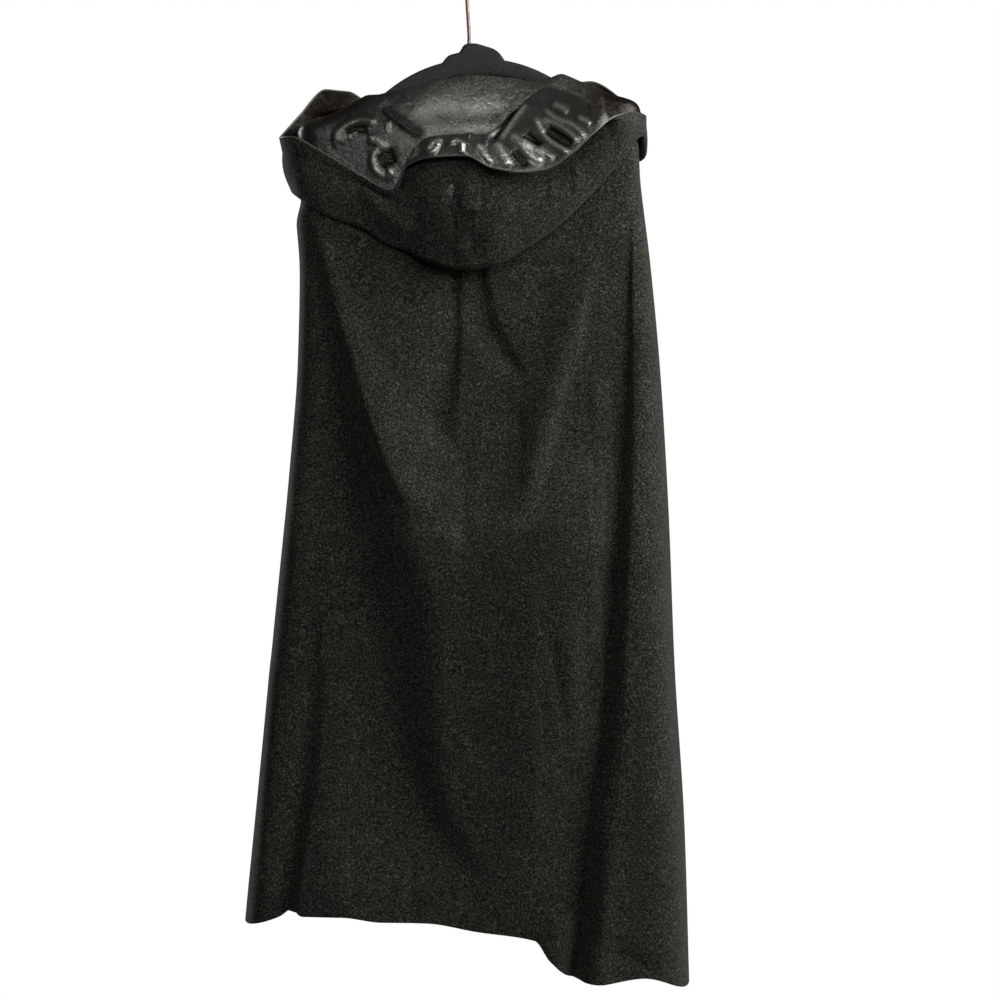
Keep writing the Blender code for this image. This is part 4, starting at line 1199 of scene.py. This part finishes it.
def neck_button():
    """A four-hole button with a raised rim, and the threads that hold it."""
    at, height = np.array([BUTTON_AROUND]), np.array([sum(TAB_DOWN) / 2])
    normal = outward(at, height)[0]
    spot = body(at, height)[0] + normal * BUTTON_LIFT
    side = unit(np.cross(normal, (0, 0, 1)))
    facing = np.stack([side, np.cross(normal, side), normal])
    turn = circle(BUTTON_SIDES)
    rings = np.array([ring(radius, height, turn) for radius, height in BUTTON_PROFILE])
    made = loft("neck_button_horn", rings @ facing + spot, HORN)
    corners = [np.array([x, y, 0]) * BUTTON_HOLES_APART / 2 for x in (-1, 1) for y in (-1, 1)]
    for corner in corners:
        rings = np.array([ring(BUTTON_HOLE, height, turn[::BORE_SIDES_IN]) + corner for height in BORE_ENDS])
        cutter = loft("hole", rings @ facing + spot, HORN)
        bored = made.modifiers.new("hole", "BOOLEAN")
        bored.object = cutter
        applied(made)
        bpy.data.objects.remove(cutter, do_unlink=True)
    threads = []
    for first, last in ((0, 3), (1, 2)):
        share = np.linspace(0, 1, THREAD_STEPS)
        line = between(corners[first], corners[last], share[:, None])
        dips = np.abs(share - 0.5) > THREAD_DIP[0]
        line[:, 2] = THREAD_OVER[0] + THREAD_OVER[1] * np.sin(share * math.pi) - THREAD_DIP[1] * dips
        name = f"neck_button_thread_{first}"
        threads.append(tube(name, line @ facing + spot, THREAD, SEWING_THREAD, normal, sides=8))
    return made, threads


def applied(piece):
    """The piece with its modifiers made real."""
    graph = bpy.context.evaluated_depsgraph_get()
    made = piece.evaluated_get(graph)
    mesh = bpy.data.meshes.new_from_object(made, preserve_all_data_layers=True, depsgraph=graph)
    piece.modifiers.clear()
    piece.data = mesh
    return piece


# ---- stitching


def stitch_tree():
    """Geometry Nodes that sew evenly spaced stitches along a line of edges."""
    sockets = (
        ("Line", "INPUT", "Geometry"),
        ("Pitch", "INPUT", "Float"),
        ("Stitch", "INPUT", "Vector"),
        ("Finish", "INPUT", "Material"),
        ("Stitches", "OUTPUT", "Geometry"),
    )
    tree, given, identifiers = node_group("stitches", "GeometryNodeTree", sockets)
    path = add(tree, "GeometryNodeMeshToCurve", {"Mesh": given["Line"]}).outputs["Curve"]
    spots = add(tree, "GeometryNodeResampleCurve", {"Curve": path, "Length": given["Pitch"]}, mode="LENGTH")
    stitch = add(tree, "GeometryNodeMeshUVSphere", STITCH_BALL)
    way = add(tree, "GeometryNodeInputTangent").outputs["Tangent"]
    turned = add(tree, "FunctionNodeAlignRotationToVector", {"Vector": way}, axis="Z")
    inputs = {
        "Points": spots.outputs["Curve"],
        "Instance": stitch.outputs["Mesh"],
        "Rotation": turned.outputs["Rotation"],
        "Scale": given["Stitch"],
    }
    made = add(tree, "GeometryNodeInstanceOnPoints", inputs).outputs["Instances"]
    for kind, inputs in (
        ("GeometryNodeRealizeInstances", {}),
        ("GeometryNodeSetShadeSmooth", {}),
        ("GeometryNodeSetMaterial", {"Material": given["Finish"]}),
    ):
        made = add(tree, kind, {"Geometry": made, **inputs}).outputs["Geometry"]
    add(tree, "NodeGroupOutput", {"Stitches": made})
    return tree, identifiers


def sew(name, line):
    """A row of stitches along a line of points."""
    mesh = bpy.data.meshes.new(name)
    mesh.from_pydata((line * MM).tolist(), [(i, i + 1) for i in range(len(line) - 1)], [])
    piece = placed(name, mesh)
    rows = piece.modifiers.new("stitches", "NODES")
    rows.node_group = STITCHES
    rows[STITCH_SOCKETS["Pitch"]] = STITCH_PITCH * MM
    rows[STITCH_SOCKETS["Stitch"]] = (THREAD * MM, THREAD * MM, STITCH_LENGTH * MM)
    rows[STITCH_SOCKETS["Finish"]] = SEWING_THREAD
    return applied(piece)


STITCHES, STITCH_SOCKETS = stitch_tree()

# ---- the cloak


def put_on(piece, slot, *nodes):
    """Rides a piece on the cloak and hides the nodes it stands for; the slot it is given is not used."""
    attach(piece, "root")
    if nodes:
        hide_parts(*nodes)


for name, *cut in PANELS:
    put_on(panel(f"cloak_{name}", *cut), "wool", name)
left_edge = hood_half("left", 0.0, CENTRE_BACK)
right_edge = hood_half("right", CENTRE_BACK, 1.0)
for side in ("left", "right"):
    put_on(bpy.data.objects[f"hood_{side}_cloth"], "wool", f"hood_{side}")
    put_on(bpy.data.objects[f"lining_{side}_cloth"], "satin", f"lining_{side}")
face_edge = np.concatenate([left_edge, right_edge[1:]])
put_on(tube("hood_piping", face_edge, PIPING, PIPING_SATIN, (0, 0, 1), sides=10), "satin")
put_on(neck_tab(), "wool", "neck_tab")
button, threads = neck_button()
put_on(button, "button", "neck_button")
put_on(hanger_bar(), "moulding", "hanger_bar")
put_on(hanger_hook(), "wire", "hanger_hook")
for thread in threads:
    put_on(thread, "wool")
for name, line in stitch_lines.items():
    put_on(sew(f"{name}_stitches", line), "wool")


# ---- room, light and camera

CAMERA_PLACE = (0.0403, -2.6, -0.712)
SENSOR, LENS = 36, 72
FLOOR_SIZE = 1.2
FLOOR_PLACE = (0.04, 0, -1.9)
ROOM_LIGHT = 0.04  # how strongly the white room lights the cloak
LIGHTS = (
    # name           place                target             size power
    ("key", (2.3, -0.75, 0.75), (0, 0, -0.7), 2.2, 81),
    ("top soft box", (0.1, -1.9, 0.6), (0, -0.05, -0.25), 0.5, 5.5),
    ("front fill", (-2.3, 1.7, 0.1), (0, 0, -0.7), 1.4, 42),
)
for name, place, target, size, power in LIGHTS:
    data = bpy.data.lights.new(name, "AREA")
    data.shape = "SQUARE"
    data.size = size
    data.energy = power
    light = placed(name, data)
    light.location = place
    light.rotation_euler = (Vector(target) - Vector(place)).to_track_quat("-Z", "Y").to_euler()

bpy.ops.mesh.primitive_plane_add(size=FLOOR_SIZE, location=FLOOR_PLACE)
floor = bpy.context.object
floor.name = "floor"
floor.data.transform(floor.matrix_world)
floor.matrix_world = floor.matrix_world.Identity(4)
floor.data.materials.append(PALE_FLOOR)

world = bpy.data.worlds.new("white room")
bpy.context.scene.world = world
world.use_nodes = True
seen = add(world.node_tree, "ShaderNodeLightPath").outputs["Is Camera Ray"]
strength = ranged(world.node_tree, seen, 0.0, 1.0, ROOM_LIGHT, 1.0)
feed(world.node_tree, world.node_tree.nodes["Background"], {"Color": (1, 1, 1, 1), "Strength": strength})

lens = bpy.data.cameras.new("view")
lens.sensor_width = SENSOR
lens.lens = LENS
camera = placed("view", lens)
camera.location = CAMERA_PLACE
camera.rotation_euler = (math.pi / 2, 0, 0)
bpy.context.scene.camera = camera
bpy.context.scene.view_settings.view_transform = "Standard"
